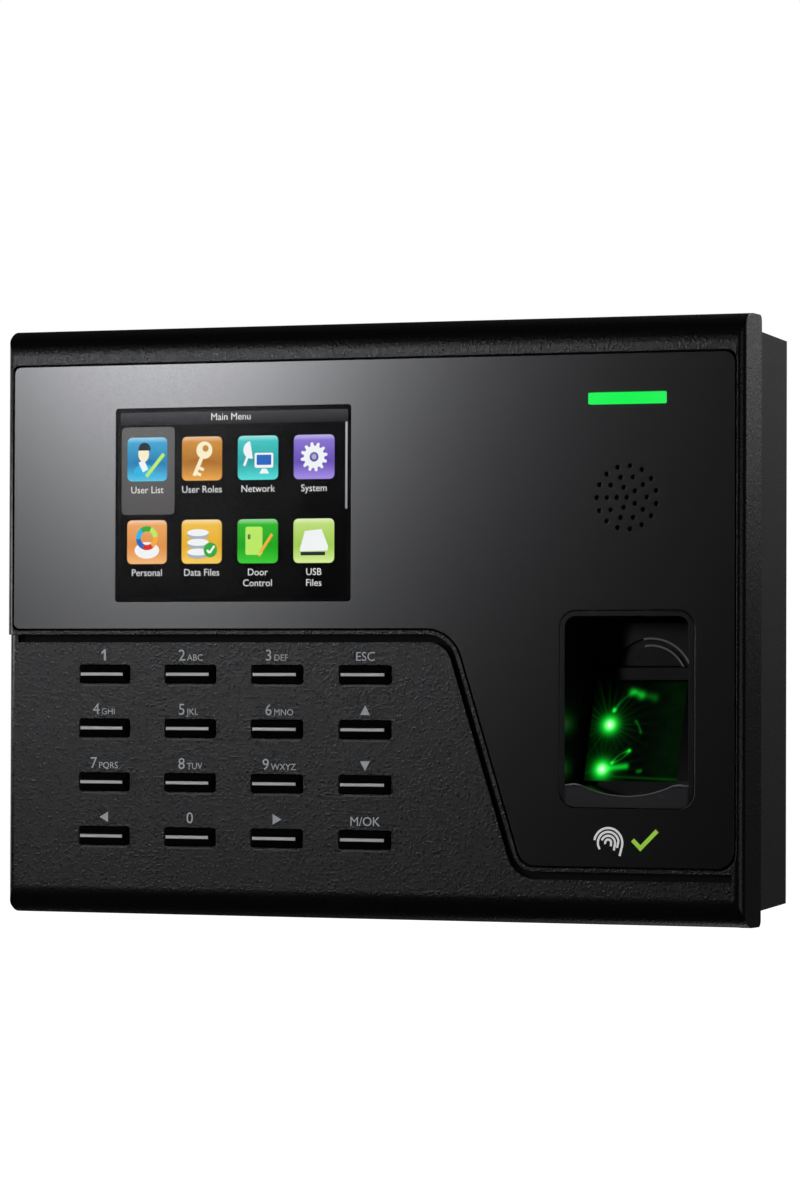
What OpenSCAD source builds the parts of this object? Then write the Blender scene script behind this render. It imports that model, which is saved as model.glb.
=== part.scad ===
// Wall-mounted terminal with a display, a keypad and a fingerprint reader.
// +X is right, +Z is up, and the wall is the plane y = 0. The face looks along -Y.
// The origin is on the wall, behind the middle of the front cover.
// A distance called "off" is how far a plane stands off the wall.

/* [Case] */
// Width of the front cover
case_w = 182.5; // [180:0.5:230]
// Height of the front cover
case_h = 137.2; // [136:0.2:170]
// Depth from the wall to the panel's face
case_d = 40; // [39:0.5:52]
// Depth of the front cover's sides
cover_side = 13; // [12:0.5:15]
// Thickness of the front cover's face and side walls
cover_wall = 2; // [1.6:0.1:2.2]
// Thickness of the front cover's top and bottom walls
cap_wall = 2.8; // [2.4:0.1:3.2]
// Radius of the front cover's upright edges
edge_r = 2; // [1:0.5:2.5]
// Radius of the roll along the front cover's top and bottom
roll_r = 6.5; // [4:0.5:7]
// Thickness of the rear housing's walls
rear_wall = 2; // [1.6:0.1:2.4]
// How much lower the rear housing is at the wall than at the cover
rear_taper = 1.3; // [0:0.1:2]
// Gap between the rear housing and the front cover that it nests in
nest_gap = 0.15; // [0.1:0.05:0.3]
// How far the rear housing reaches into the front cover
nest_depth = 3; // [2:0.5:4]

/* [Panel] */
// Thickness of the glossy front panel
panel_t = 2.2; // [1.8:0.1:2.4]
// Gap between the panel and the pocket that it is glued into
panel_gap = 0.45; // [0.2:0.05:0.6]
// From the cover's top to the panel
panel_top = 8.8; // [8:0.1:12]
// From the cover's sides to the panel
panel_side = 2.1; // [2:0.1:4]
// From the cover's bottom to the panel's right-hand leg
panel_bottom = 13.3; // [12:0.1:16]
// From the cover's top to the panel's lower edge over the keypad
panel_drop = 70.4; // [69:0.1:72]
// From the cover's right side to the bend in the panel's lower edge
bend_inset = 69.1; // [66:0.1:70]
// Lean of the panel's slanted edge from upright
slant = 17.4; // [14:0.1:19]
// Radius of that bend
bend_r = 9; // [6:0.5:12]
// Step from the panel's face back to the keypad's face
keypad_step = 1.2; // [0.8:0.1:1.4]
// Width of the rim that the cover leaves around the panel
rim_w = 0.9; // [0.6:0.1:1.2]
// Width of the groove between that rim and the keypad
groove_w = 1.8; // [1.2:0.1:2]
// Depth of that groove
groove_d = 1; // [0.5:0.1:1.2]
// Width of the strip at the panel's level along the cover's right side
edge_strip = 2.6; // [2.5:0.1:3]

/* [Display] */
// Width of the picture
picture_w = 57.6; // [50:0.1:60]
// Height of the picture
picture_h = 43.2; // [38:0.1:45]
// From the cover's left side to the middle of the display and the keypad
left_column = 58.3; // [58:0.1:62]
// From the cover's top to the middle of the display
display_drop = 41.6; // [41:0.1:43]
// Thickness of the display module
display_t = 2.6; // [2.2:0.1:3]
// Width of the display module's border around the picture
display_border = 3.6; // [3:0.1:4.5]

/* [Keypad] */
// Distance between key columns
key_pitch_x = 22; // [18:0.1:23]
// Distance between key rows
key_pitch_z = 12.6; // [10:0.1:12.8]
// From the cover's top to the first key row
keys_drop = 81; // [80:0.1:84]
// Width of a key's slot
slot_w = 13.1; // [12:0.1:15]
// Height of a key's slot
slot_h = 4.4; // [4:0.1:6]
// Gap between a key and its slot
key_gap = 0.25; // [0.15:0.05:0.35]
// How far a key stands out of the keypad's face
key_rise = 1.7; // [1.2:0.1:2.4]
// Height of the silver ridge along a key's middle
ridge_h = 0.65; // [0.5:0.05:1.4]
// Travel of a key
key_travel = 0.8; // [0.5:0.1:1]

/* [Right-hand column] */
// From the cover's right side to the middle of the light, speaker and reader
right_column = 27.45; // [25:0.1:30]
// Width of the status light
light_w = 18.5; // [14:0.1:22]
// Height of the status light
light_h = 2.6; // [2:0.1:4]
// From the cover's top to the middle of the status light
light_drop = 18.8; // [16:0.1:19]
// From the cover's top to the middle of the speaker
speaker_drop = 41.1; // [38:0.1:43]
// Diameter of one speaker hole
grille_hole = 1.1; // [0.8:0.1:1.4]
// Distance between the rings of speaker holes
grille_pitch = 2.37; // [2:0.01:2.6]
// Diameter of the speaker
speaker_d = 22; // [20:0.5:24]
// Width of the reader's window
reader_w = 32.2; // [30:0.1:34]
// Height of the reader's window
reader_h = 44.5; // [42:0.1:46]
// From the cover's top to the middle of the reader's window
reader_drop = 88.55; // [88:0.1:90]
// Width of the prism that the finger rests on
prism_w = 22; // [18:0.5:24]
// How far the prism sits to the left of the window's middle
prism_shift = 2.3; // [0:0.1:2.5]
// Depth from the panel's face to the prism's lower edge
prism_near = 9; // [8:0.5:10]
// Depth from the panel's face to the prism's upper edge
prism_far = 17; // [15:0.5:17.5]

/* [Back] */
// Thickness of the steel wall plate
plate_t = 1.2; // [1:0.1:1.5]
// Distance between the wall holes, across
wall_hole_x = 120; // [100:1:130]
// Distance between the wall holes, up
wall_hole_z = 60; // [50:1:66]
// Diameter of the wall holes
wall_hole = 5; // [4:0.1:6]
// Width of the cable bay
bay_w = 72; // [70:1:76]
// Height of the cable bay
bay_h = 26; // [22:0.5:26]
// From the rear housing's left side to the cable bay
bay_inset = 28; // [26:0.5:29]
// Thickness of the circuit boards
board_t = 1.6; // [1.2:0.1:1.6]
// Diameter of the case screws
case_screw = 3; // [2.5:0.1:3.5]
// Diameter of the board screws
board_screw = 2.5; // [2:0.1:2.6]

/* [Hidden] */

$fn = 48;
CORNER_STEPS = 8;
SLIP = 0.3;       // gap around a piece that drops into an opening
SCREW_GAP = 0.05; // gap between a screw and its hole
PAST = 1;         // how far a cut runs past the face that it opens

// Depth planes, as distances off the wall
main_gap = 15; // room for the sockets behind the main board
seat_off = case_d - panel_t;
keypad_off = case_d - keypad_step;
inner_off = seat_off - cover_wall;
cover_back = case_d - cover_side;
rear_back = 0.3;
floor_back = 3;
floor_off = floor_back + rear_wall;
main_off = floor_off + main_gap;
post_off = cover_back - 3;
seat_t = 4;    // what a corner post leaves under a screw's head
screw_seat = post_off - seat_t;

// Small sizes that several pieces share
gasket_t = 0.5;       // foam between the display and the panel
connector_edge = 4.4; // extra width of the display module for its driver
lens_edge = 0.9;      // how far the lens reaches past the picture
post_d = 9;           // corner posts of the rear housing
boss_d = 5;           // bosses that hold the boards
pilot_h = 4;          // depth of a board screw's hole in its boss
screw_play = 0.4;     // play of a screw in the piece that it holds

// Plan positions
half_w = case_w / 2;
half_h = case_h / 2;
top = half_h;
panel_x = half_w - panel_side;
panel_hi = top - panel_top;
panel_lo = -half_h + panel_bottom;
step_z = top - panel_drop;
bend_x = half_w - bend_inset;
display_x = -half_w + left_column;
display_z = top - display_drop;
module_w = picture_w + 2 * display_border + connector_edge;
module_h = picture_h + 2 * display_border;
lens_w = picture_w + 2 * lens_edge;
lens_h = picture_h + 2 * lens_edge;
column_x = half_w - right_column;
light_z = top - light_drop;
speaker_z = top - speaker_drop;
reader_z = top - reader_drop;
keys_z = top - keys_drop;

// Rear housing and cable bay
rear_half_w = half_w - cover_wall - nest_gap;
rear_half_h = half_h - cap_wall - nest_gap;
rear_low_h = rear_half_h - rear_taper;
bay_x = -rear_half_w + bay_inset;
bay_floor = main_off - 3;
bay_wall = 1.6;
bay_top = -rear_low_h + rear_wall + bay_h;
plate_gap = 0.8;
plate_half_w = rear_half_w - rear_wall - plate_gap;
plate_half_h = rear_low_h - rear_wall - plate_gap;
bolt_z = 10;
lock_x = column_x - 6;
tab_w = 14;
tab_h = 1.2;

// Case screws stand in the cover's corners
case_x = half_w - 8.3;
case_z = half_h - 9;

// Main board
main_left = -case_x + post_d / 2 + 2;
main_right = column_x - 25;
main_top = rear_low_h - rear_wall - 8;
main_low = -rear_low_h + rear_wall + 4.6;
main_hole_in = 5;
main_holes = [[main_left + main_hole_in, main_top - main_hole_in], [main_right - main_hole_in, main_top - main_hole_in],
    [main_left + main_hole_in, bay_top + 8], [main_right - main_hole_in, bay_top + 8]];

// Keypad board
mat_t = 1.2;
flange_t = 1;
key_back = inner_off - flange_t;
pill_h = 1.6;
mat_back = key_back - pill_h - mat_t;
pad_half_w = 1.5 * key_pitch_x + slot_w / 2 + 5;
pad_half_h = 1.5 * key_pitch_z + slot_h / 2 + 3.6;
pad_z = keys_z - 1.5 * key_pitch_z;
pad_holes = [for (sx = [-1, 1]) for (sz = [-1, 1])
    [display_x + sx * key_pitch_x, pad_z + sz * key_pitch_z]];

// Display bracket
lcd_back = seat_off - gasket_t - display_t;
bracket_t = 1.2;
bracket_gap = 2;
bracket_back = lcd_back - bracket_gap - bracket_t;
bracket_ear = 5.5;
bracket_half_w = module_w / 2 + bracket_ear;
bracket_holes = [for (sx = [-1, 1]) for (sz = [-1, 1])
    [display_x + sx * (module_w + bracket_ear) / 2, display_z + sz * (module_h / 2 - 4)]];

// Reader
guide_gap = 0.2;
guide_w = reader_w - 2 * guide_gap;
guide_h = reader_h - 2 * guide_gap;
guide_wall = 1.2;
guide_back = case_d - prism_far - 2;
prism_x = column_x - prism_shift;
well_w = guide_w - 2 * guide_wall;
well_top = reader_z + reader_h / 2 - guide_wall;
lip_scoop_r = 26;
lip_scoop_w = 23;
lip_scoop_drop = 2.4;
bar_proud = 1.4;
bar_h = 3.6;
bar_edge = 0.4;
well_slope = 3;
arch_outer_d = 20.4;
arch_inner_d = 17.2;
arch_depth = 0.8;
lip_z = reader_z - reader_h / 2 + 5.1;
prism_low = lip_z + 0.9;
prism_high = reader_z + 6.2;
prism_near_off = case_d - prism_near;
prism_far_off = case_d - prism_far;
prism_gap = 0.1;
optics_z = (prism_low + prism_high) / 2;
optics_h = prism_high - prism_low + 6;
optics_w = prism_w + 6;
sensor_board_back = floor_off + 0.6;
sensor_board_front = sensor_board_back + board_t;
light_board_off = inner_off - 7;
light_hole_x = 13;

// ---- Helpers ----

// The 2D shape is in X and Z. It fills t millimetres outward from a plane.
module layer(off, t) {
    translate([0, -off, 0]) rotate([90, 0, 0]) linear_extrude(t) children();
}

// The 2D shape is in off and Z. It runs w millimetres along X, centred on x.
module along_x(x, w) {
    translate([x, 0, 0]) mirror([0, 1, 0]) rotate([90, 0, 90]) linear_extrude(w, center = true) children();
}

// The 2D shape is in X and off. It runs h millimetres up from z.
module along_z(z, h) {
    translate([0, 0, z]) mirror([0, 1, 0]) linear_extrude(h) children();
}

function unit(v) = v / norm(v);

// Points of one corner b between a and c, rounded by an arc of radius r.
function corner(a, b, c, r) =
    r <= 0 ? [b] :
    let (u = unit(a - b), w = unit(c - b))
    let (half = acos(u * w) / 2)
    let (centre = b + unit(u + w) * r / sin(half))
    let (p = b + u * r / tan(half), q = b + w * r / tan(half))
    let (from = atan2(p.y - centre.y, p.x - centre.x), to = atan2(q.y - centre.y, q.x - centre.x))
    let (turn = (to - from + 540) % 360 - 180)
    [for (i = [0 : CORNER_STEPS]) centre + r * [cos(from + turn * i / CORNER_STEPS), sin(from + turn * i / CORNER_STEPS)]];

// Outline through [x, y, radius] points.
function rounded(pts) =
    let (n = len(pts))
    let (flat = [for (p = pts) [p.x, p.y]])
    [for (i = [0 : n - 1]) each corner(flat[(i + n - 1) % n], flat[i], flat[(i + 1) % n], pts[i].z)];

module box(w, h, r = 0) {
    polygon(rounded([[-w / 2, -h / 2, r], [w / 2, -h / 2, r], [w / 2, h / 2, r], [-w / 2, h / 2, r]]));
}

module block(x, z, off, size) {
    translate([x, 0, z]) layer(off, size.y) square([size.x, size.z], center = true);
}

module post(x, z, off, t, d) {
    translate([x, 0, z]) layer(off, t) circle(d = d);
}

// X of the panel's slanted edge at a height, moved out of the panel by g.
function slant_x(z, g) = bend_x + (step_z - z) * tan(slant) - g / cos(slant);

// The panel's outline grown by g. The side given as wide runs off past the cover.
function panel_points(g, wide = 0) = rounded([
    [-panel_x - g - wide, step_z - g, wide > 0 ? 0 : 1.5],
    [-panel_x - g - wide, panel_hi + g + wide, wide > 0 ? 0 : 1.5],
    [panel_x + g + wide, panel_hi + g + wide, wide > 0 ? 0 : 2.5],
    [panel_x + g + wide, panel_lo - g, wide > 0 ? 0 : 4],
    [slant_x(panel_lo - g, g), panel_lo - g, 4 + g],
    [slant_x(step_z - g, g), step_z - g, bend_r - g]]);

// ---- Case ----

// The cover's outer form with its face at a given plane.
module cover_form(face) {
    intersection() {
        along_x(0, case_w) polygon(rounded([
            [cover_back, -half_h, 1.5], [cover_back, half_h, 1.5],
            [face, half_h, roll_r], [face, -half_h, roll_r]]));
        along_z(-half_h, case_h) polygon(rounded([
            [-half_w, cover_back, 0], [half_w, cover_back, 0], [half_w, face, edge_r], [-half_w, face, edge_r]]));
    }
}

module key_places() {
    for (row = [0 : 3]) for (col = [0 : 3]) translate([key_x(col), 0, key_z(row)]) children();
}

function key_x(col) = display_x + (col - 1.5) * key_pitch_x;
function key_z(row) = keys_z - row * key_pitch_z;

module front_cover() {
    color("#2c2c2f") difference() {
        union() {
            difference() {
                union() {
                    cover_form(keypad_off);
                    intersection() {
                        cover_form(case_d);
                        union() {
                            layer(cover_back, case_d) polygon(panel_points(panel_gap + rim_w, case_w));
                            block(half_w, 0, cover_back, [2 * edge_strip, case_d, case_h]);
                        }
                    }
                }
                layer(0, inner_off) square([case_w - 2 * cover_wall, case_h - 2 * cap_wall], center = true);
            }
            cover_bosses();
        }
        layer(seat_off, panel_t + PAST) polygon(panel_points(panel_gap));
        intersection() {
            difference() {
                layer(keypad_off - groove_d, panel_t + PAST) polygon(panel_points(panel_gap + rim_w + groove_w, case_w));
                layer(keypad_off - groove_d - PAST, panel_t + 3 * PAST) polygon(panel_points(panel_gap + rim_w, case_w));
            }
            layer(0, case_d + PAST) square([case_w - 2 * edge_strip, case_h], center = true);
        }
        cover_cuts();
    }
}

// Bosses that reach back from the cover's face for every screw.
module cover_bosses() {
    for (sx = [-1, 1]) for (sz = [-1, 1]) post(sx * case_x, sz * case_z, post_off, inner_off - post_off, 7.4);
    for (p = pad_holes) post(p.x, p.y, mat_back, inner_off - mat_back, boss_d);
    for (p = bracket_holes) post(p.x, p.y, bracket_back + bracket_t, inner_off - bracket_back - bracket_t, 4.6);
    for (sx = [-1, 1]) post(column_x + sx * light_hole_x, light_z, light_board_off, inner_off - light_board_off, boss_d);
}

module cover_cuts() {
    translate([display_x, 0, display_z]) layer(inner_off - PAST, cover_wall + 2 * PAST)
        box(module_w + 2 * SLIP, module_h + 2 * SLIP, 0.5);
    translate([column_x, 0, light_z]) layer(inner_off - PAST, cover_wall + 2 * PAST)
        box(light_w + 2 * SLIP, light_h + 2 * SLIP, 0.5);
    post(column_x, speaker_z, inner_off - PAST, cover_wall + 2 * PAST, 6 * grille_pitch + 3);
    translate([column_x, 0, reader_z]) layer(inner_off - PAST, cover_wall + 2 * PAST)
        box(guide_w + 2 * SLIP, guide_h + 2 * SLIP, 4);
    key_places() layer(inner_off - PAST, case_d) box(slot_w, slot_h, 0.6);
    for (sx = [-1, 1]) for (sz = [-1, 1])
        post(sx * case_x, sz * case_z, post_off - PAST, 9 + PAST, case_screw + 2 * SCREW_GAP);
    for (p = pad_holes)
        post(p.x, p.y, mat_back - PAST, pilot_h + PAST, board_screw + 2 * SCREW_GAP);
    for (p = bracket_holes)
        post(p.x, p.y, lcd_back - bracket_gap - PAST, pilot_h - 1 + PAST, board_screw + 2 * SCREW_GAP);
    for (sx = [-1, 1])
        post(column_x + sx * light_hole_x, light_z, light_board_off - PAST, pilot_h + PAST,
            board_screw + 2 * SCREW_GAP);
}

// Half the rear housing's height at a plane.
function rear_h(off) = rear_low_h + rear_taper * off / cover_back;

// The rear housing's outer form, which narrows towards the wall.
module rear_form(from, to, inset) {
    h1 = rear_half_h - inset;
    h_from = rear_h(from) - inset;
    intersection() {
        along_x(0, 2 * (rear_half_w - inset)) polygon(rounded([
            [from, -h_from, 1.5 - inset / 2], [from, h_from, 1.5 - inset / 2],
            [min(to, cover_back), h1, 0], [to, h1, 0], [to, -h1, 0], [min(to, cover_back), -h1, 0]]));
        along_z(-half_h, case_h) polygon(rounded([
            [-rear_half_w + inset, from, 1.5 - inset / 2], [rear_half_w - inset, from, 1.5 - inset / 2],
            [rear_half_w - inset, to, 0], [-rear_half_w + inset, to, 0]]));
    }
}

module rear_housing() {
    lip_off = cover_back + nest_depth;
    color("#222225") difference() {
        union() {
            difference() {
                rear_form(rear_back, lip_off, 0);
                rear_form(floor_off, lip_off + PAST, rear_wall);
                layer(0, floor_back) box(2 * plate_half_w + 1, 2 * plate_half_h + 1, 2);
            }
            for (sx = [-1, 1]) for (sz = [-1, 1])
                post(sx * case_x, sz * case_z, floor_back, post_off - floor_back, post_d);
            for (p = main_holes) post(p.x, p.y, floor_back, main_off - floor_back, 6);
            along_x(bay_x + bay_w / 2, bay_w + 2 * bay_wall) polygon([
                [floor_back, -rear_low_h + 0.5], [floor_back, bay_top + bay_wall],
                [bay_floor + bay_wall, bay_top + bay_wall], [bay_floor + bay_wall, -rear_low_h + 0.5]]);
        }
        rear_cuts();
    }
}

module rear_cuts() {
    for (sx = [-1, 1]) for (sz = [-1, 1]) {
        post(sx * case_x, sz * case_z, 0, screw_seat, 6.6);
        post(sx * case_x, sz * case_z, 0, case_d, case_screw + screw_play);
    }
    for (p = main_holes) post(p.x, p.y, main_off - 9, 9 + PAST, board_screw + 2 * SCREW_GAP);
    translate([bay_x + bay_w / 2, 0, bay_top - bay_h / 2]) layer(0, bay_floor) square([bay_w, bay_h], center = true);
    for (c = bay_sockets)
        block(c[0], bay_top, main_off - c[2] - SLIP, [c[1] + 2 * SLIP, c[2] + SLIP, 4 * bay_wall]);
    block(usb_x, -rear_half_h, main_off - usb_h - SLIP, [usb_w + 2 * SLIP, usb_h + 2 * SLIP, 8]);
    for (h = hook_places) block(h.x, h.y + hook_t / 2 - 3.5, 0, [hook_w + 1, floor_off + PAST, 7]);
    block(lock_x, -plate_half_h + tab_h / 2, 0, [tab_w + 2 * SLIP, floor_off + PAST, tab_h + 2 * SLIP]);
    translate([lock_x, -lock_off, -case_h]) cylinder(d = case_screw + screw_play, h = case_h);
    post(tamper_x, tamper_z, 0, floor_off + PAST, 3.6);
    post(reset_x, reset_z, 0, floor_off + PAST, 2.5);
}

// Hooks of the wall plate: x and the height that the housing hangs at
hook_w = 9;
hook_t = 1.2;
hook_places = [for (sx = [-1, 1]) for (z = [30, -22]) [sx * 40, z]];
lock_off = floor_off + 3;

module wall_plate() {
    window_w = bay_w - 14;
    color("#9a9ca0") difference() {
        union() {
            layer(0, plate_t) box(2 * plate_half_w, 2 * plate_half_h, 3);
            for (h = hook_places) {
                block(h.x, h.y, plate_t / 2, [hook_w, floor_off + 2 - plate_t / 2, hook_t]);
                block(h.x, h.y + 2 - hook_t / 2, floor_off + 0.4, [hook_w, 1.6, 4]);
            }
            block(lock_x, -plate_half_h + tab_h / 2, plate_t / 2, [tab_w, lock_off + 3.4, tab_h]);
        }
        for (sx = [-1, 1]) for (sz = [-1, 1])
            post(sx * wall_hole_x / 2, bolt_z + sz * wall_hole_z / 2, -PAST, plate_t + 2 * PAST, wall_hole);
        block(bay_x + bay_w / 2, bay_top - bay_h / 2 + 1, -PAST, [window_w, plate_t + 2 * PAST, bay_h - 8]);
        translate([lock_x, -lock_off, -case_h]) cylinder(d = case_screw + 2 * SCREW_GAP, h = case_h);
    }
}

// ---- Panel ----

module front_panel() {
    color("#34353a") difference() {
        layer(seat_off, panel_t) polygon(panel_points(0));
        translate([display_x, 0, display_z]) layer(seat_off - PAST, panel_t + 2 * PAST)
            box(lens_w + 0.2, lens_h + 0.2, 0.8);
        translate([column_x, 0, light_z]) layer(seat_off - PAST, panel_t + 2 * PAST)
            box(light_w + 0.2, light_h + 0.2, 0.4);
        translate([column_x, 0, reader_z]) layer(seat_off - PAST, panel_t + 2 * PAST) box(reader_w, reader_h, 4);
        grille_holes();
    }
}

// One hole in the middle and three rings of five, ten and fifteen.
module grille_holes() {
    post(column_x, speaker_z, seat_off - PAST, panel_t + 2 * PAST, grille_hole);
    for (ring = [1 : 3]) for (i = [1 : 5 * ring]) {
        turn = 180 + 360 * i / (5 * ring);
        post(column_x + ring * grille_pitch * cos(turn), speaker_z + ring * grille_pitch * sin(turn),
            seat_off - PAST, panel_t + 2 * PAST, grille_hole);
    }
}

module screen_lens() {
    color("#0b0c0e") translate([display_x, 0, display_z]) layer(seat_off, panel_t) box(lens_w, lens_h, 0.7);
}

module light_pipe() {
    color("#25d95f") translate([column_x, 0, light_z]) {
        layer(inner_off - 2, case_d - inner_off + 2) box(light_w, light_h, 0.3);
        layer(inner_off - 2, 2) box(light_w + 2.4, light_h + 2.4, 0.6);
    }
}

// ---- Display ----

module lcd_gasket() {
    color("#1a1a1a") translate([display_x, 0, display_z]) layer(seat_off - gasket_t, gasket_t) difference() {
        box(module_w - 1, module_h - 1, 1);
        box(picture_w + 1, picture_h + 1, 0.5);
    }
}

module lcd_glass() {
    color("#16181c") block(display_x, display_z, lcd_back + display_t / 2, [module_w - 1.2, display_t / 2, module_h - 1.2]);
}

module lcd_backlight() {
    color("#f2f2ee")
        block(display_x, display_z, lcd_back + 0.4, [module_w - 1.2, display_t / 2 - 0.4, module_h - 1.2]);
}

module lcd_frame() {
    color("#b9bcc0") difference() {
        block(display_x, display_z, lcd_back, [module_w, display_t, module_h]);
        block(display_x, display_z, lcd_back + 0.4, [module_w - 1, display_t, module_h - 1]);
    }
}

// The bracket presses the display into the cover through four pads.
module lcd_bracket() {
    color("#8f9296") difference() {
        translate([display_x, 0, display_z]) union() {
            layer(bracket_back, bracket_t) difference() {
                box(2 * bracket_half_w, module_h, 2);
                box(module_w - 16, module_h - 16, 2);
            }
            for (sx = [-1, 1]) for (sz = [-1, 1])
                post(sx * (module_w / 2 - 4), sz * (module_h / 2 - 10), bracket_back, lcd_back - bracket_back, 5);
        }
        for (p = bracket_holes) post(p.x, p.y, 0, case_d, board_screw + screw_play);
    }
}

module lcd_flex() {
    low = display_z - module_h / 2;
    color("#c98a3c") along_x(display_x, 20) {
        polygon([[lcd_back + 0.6, low], [lcd_back + 1, low], [lcd_back + 1, low - 2.4], [main_off + board_t + 2, low - 2.4],
            [main_off + board_t + 2, low - 2], [lcd_back + 0.6, low - 2]]);
        polygon([[main_off + board_t, low - 4.4], [main_off + board_t + 2, low - 4.4],
            [main_off + board_t + 2, low], [main_off + board_t, low]]);
    }
}

// ---- Fingerprint reader ----

// Outline of the well that the finger goes into, in off and Z.
function well_outline() = [
    [case_d + PAST, lip_z], [prism_near_off, lip_z], [prism_near_off, prism_low], [prism_far_off, prism_high],
    [prism_far_off + bar_proud, prism_high + bar_edge], [prism_far_off + bar_proud, prism_high + bar_h - bar_edge],
    [prism_far_off, prism_high + bar_h], [prism_far_off, well_top - well_slope / 2],
    [prism_far_off + well_slope, well_top], [case_d + PAST, well_top]];

// Outline of the prism under the finger, grown by g.
function prism_outline(g) = [
    [guide_back - (g > 0 ? PAST : 0), prism_low - g], [prism_near_off + g, prism_low - g],
    [prism_far_off + g, prism_high + g], [guide_back - (g > 0 ? PAST : 0), prism_high + g]];

module finger_guide() {
    arch_z = prism_high - bar_edge;
    color("#2b2c30") difference() {
        translate([column_x, 0, reader_z]) union() {
            layer(guide_back, case_d - guide_back) box(guide_w, guide_h, 3.8);
            layer(inner_off - 1.6, 1.6) box(guide_w + 4, guide_h + 4, 5);
        }
        intersection() {
            along_x(column_x, well_w) polygon(well_outline());
            translate([column_x, 0, reader_z]) layer(0, case_d + PAST)
                box(well_w, guide_h - 2 * guide_wall, 2.6);
        }
        translate([column_x, 0, lip_z - lip_scoop_drop + lip_scoop_r]) intersection() {
            layer(prism_near_off, prism_near + PAST) circle(r = lip_scoop_r, $fn = 96);
            translate([0, 0, -lip_scoop_r]) layer(0, case_d + PAST) square([lip_scoop_w, 6], center = true);
        }
        along_x(prism_x, prism_w + 2 * prism_gap) polygon(prism_outline(prism_gap));
        difference() {
            post(column_x, arch_z, prism_far_off - arch_depth, 2 * arch_depth, arch_outer_d);
            post(column_x, arch_z, prism_far_off - 2 * arch_depth, 4 * arch_depth, arch_inner_d);
            layer(0, case_d) translate([0, -case_h / 2 + prism_high + bar_h]) square(case_h, center = true);
        }
    }
}

module sensor_prism() {
    color("#5fd98a", 0.6) along_x(prism_x, prism_w) polygon(prism_outline(0));
}

module sensor_housing() {
    color("#17181a") difference() {
        block(column_x, optics_z, sensor_board_front, [optics_w, guide_back - sensor_board_front, optics_h]);
        block(column_x, optics_z, sensor_board_front - PAST,
            [optics_w - 3, guide_back - sensor_board_front + PAST - 1.5, optics_h - 3]);
        block(prism_x, optics_z, sensor_board_front, [prism_w - 2, case_d, prism_high - prism_low - 2]);
    }
}

module sensor_camera() {
    color("#111111") {
        block(column_x, optics_z + 5, sensor_board_front, [9, 3.4, 9]);
        post(column_x, optics_z + 5, sensor_board_front + 3.4, 4.2, 7);
    }
}

module sensor_leds() {
    color("#b8f5c8") for (sx = [-1, 1]) for (dz = [0, 6]) {
        post(column_x + sx * 6, optics_z - 10 + dz, sensor_board_front, 4.5, 3);
    }
}

module sensor_board() {
    color("#0e5a3a") block(column_x, optics_z, sensor_board_back, [optics_w + 4, board_t, optics_h + 2]);
}

// Flat cable from the reader's board to the back of the main board.
module sensor_ribbon() {
    end_x = column_x - optics_w / 2 - 2;
    mid_x = main_right - 6;
    plug = 2;
    color("#d8d8d0") along_z(prism_high - 3, 6) polygon([
        [end_x, sensor_board_back], [end_x, sensor_board_back + 0.5], [mid_x + 0.5, sensor_board_back + 0.5],
        [mid_x + 0.5, main_off - plug], [mid_x + 3, main_off - plug], [mid_x + 3, main_off],
        [mid_x - 3, main_off], [mid_x - 3, main_off - plug], [mid_x, main_off - plug], [mid_x, sensor_board_back]]);
}

// ---- Speaker and light ----

module speaker_gasket() {
    color("#151515") translate([column_x, 0, speaker_z]) layer(inner_off - 0.8, 0.8) difference() {
        circle(d = speaker_d);
        circle(d = speaker_d - 4);
    }
}

module speaker() {
    color("#3a3b3f") difference() {
        union() {
            post(column_x, speaker_z, inner_off - 5, 4.2, speaker_d);
            post(column_x, speaker_z, inner_off - 7.6, 2.6, speaker_d * 0.6);
        }
        translate([column_x, 0, speaker_z]) layer(inner_off - 1.8, 2) circle(d = speaker_d - 5);
    }
}

// Flat twin lead from the speaker's back to a plug on the main board.
module speaker_lead() {
    wire = 1.2;
    from_x = column_x - speaker_d * 0.3 - 2.5;
    to_x = main_right - 4;
    back = inner_off - 5;
    front = main_off + board_t;
    plug = 1.8;
    color("#b02a2a") {
        along_z(speaker_z - wire, 2 * wire) polygon([
            [from_x, back], [from_x, back - 2], [to_x, front + 3.6], [to_x, front + plug],
            [to_x + wire, front + plug], [to_x + wire, front + 2.4], [from_x + wire, back - 3.2], [from_x + wire, back]]);
        block(to_x, speaker_z, front, [4, plug, 6]);
    }
}

module light_board() {
    color("#0e5a3a") difference() {
        block(column_x, light_z, light_board_off - board_t, [32, board_t, 7]);
        for (sx = [-1, 1]) post(column_x + sx * light_hole_x, light_z, 0, case_d, board_screw + screw_play);
    }
}

module status_leds() {
    color("#e8fff0") for (sx = [-1, 1]) block(column_x + sx * 5, light_z, light_board_off, [3.5, 1.9, 2.8]);
}

// ---- Keypad ----

// A key with a pitched front, and a flange that the cover holds in.
module key(col, row) {
    w = slot_w - 2 * key_gap;
    h = slot_h - 2 * key_gap;
    tip = keypad_off + key_rise;
    shoulder = keypad_off + 0.3;
    end_slope = 0.9;
    color("#1b1b1d") translate([key_x(col), 0, key_z(row)]) {
        layer(key_back, flange_t) square([slot_w + 1.6, slot_h + 1.6], center = true);
        intersection() {
            along_x(0, w) polygon([[key_back, -h / 2], [key_back, h / 2], [shoulder, h / 2],
                [tip, ridge_h / 2], [tip, -ridge_h / 2], [shoulder, -h / 2]]);
            along_z(-h / 2, h) polygon([[-w / 2, key_back], [w / 2, key_back], [w / 2, shoulder],
                [w / 2 - end_slope, tip], [-w / 2 + end_slope, tip], [-w / 2, shoulder]]);
        }
    }
}

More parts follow.
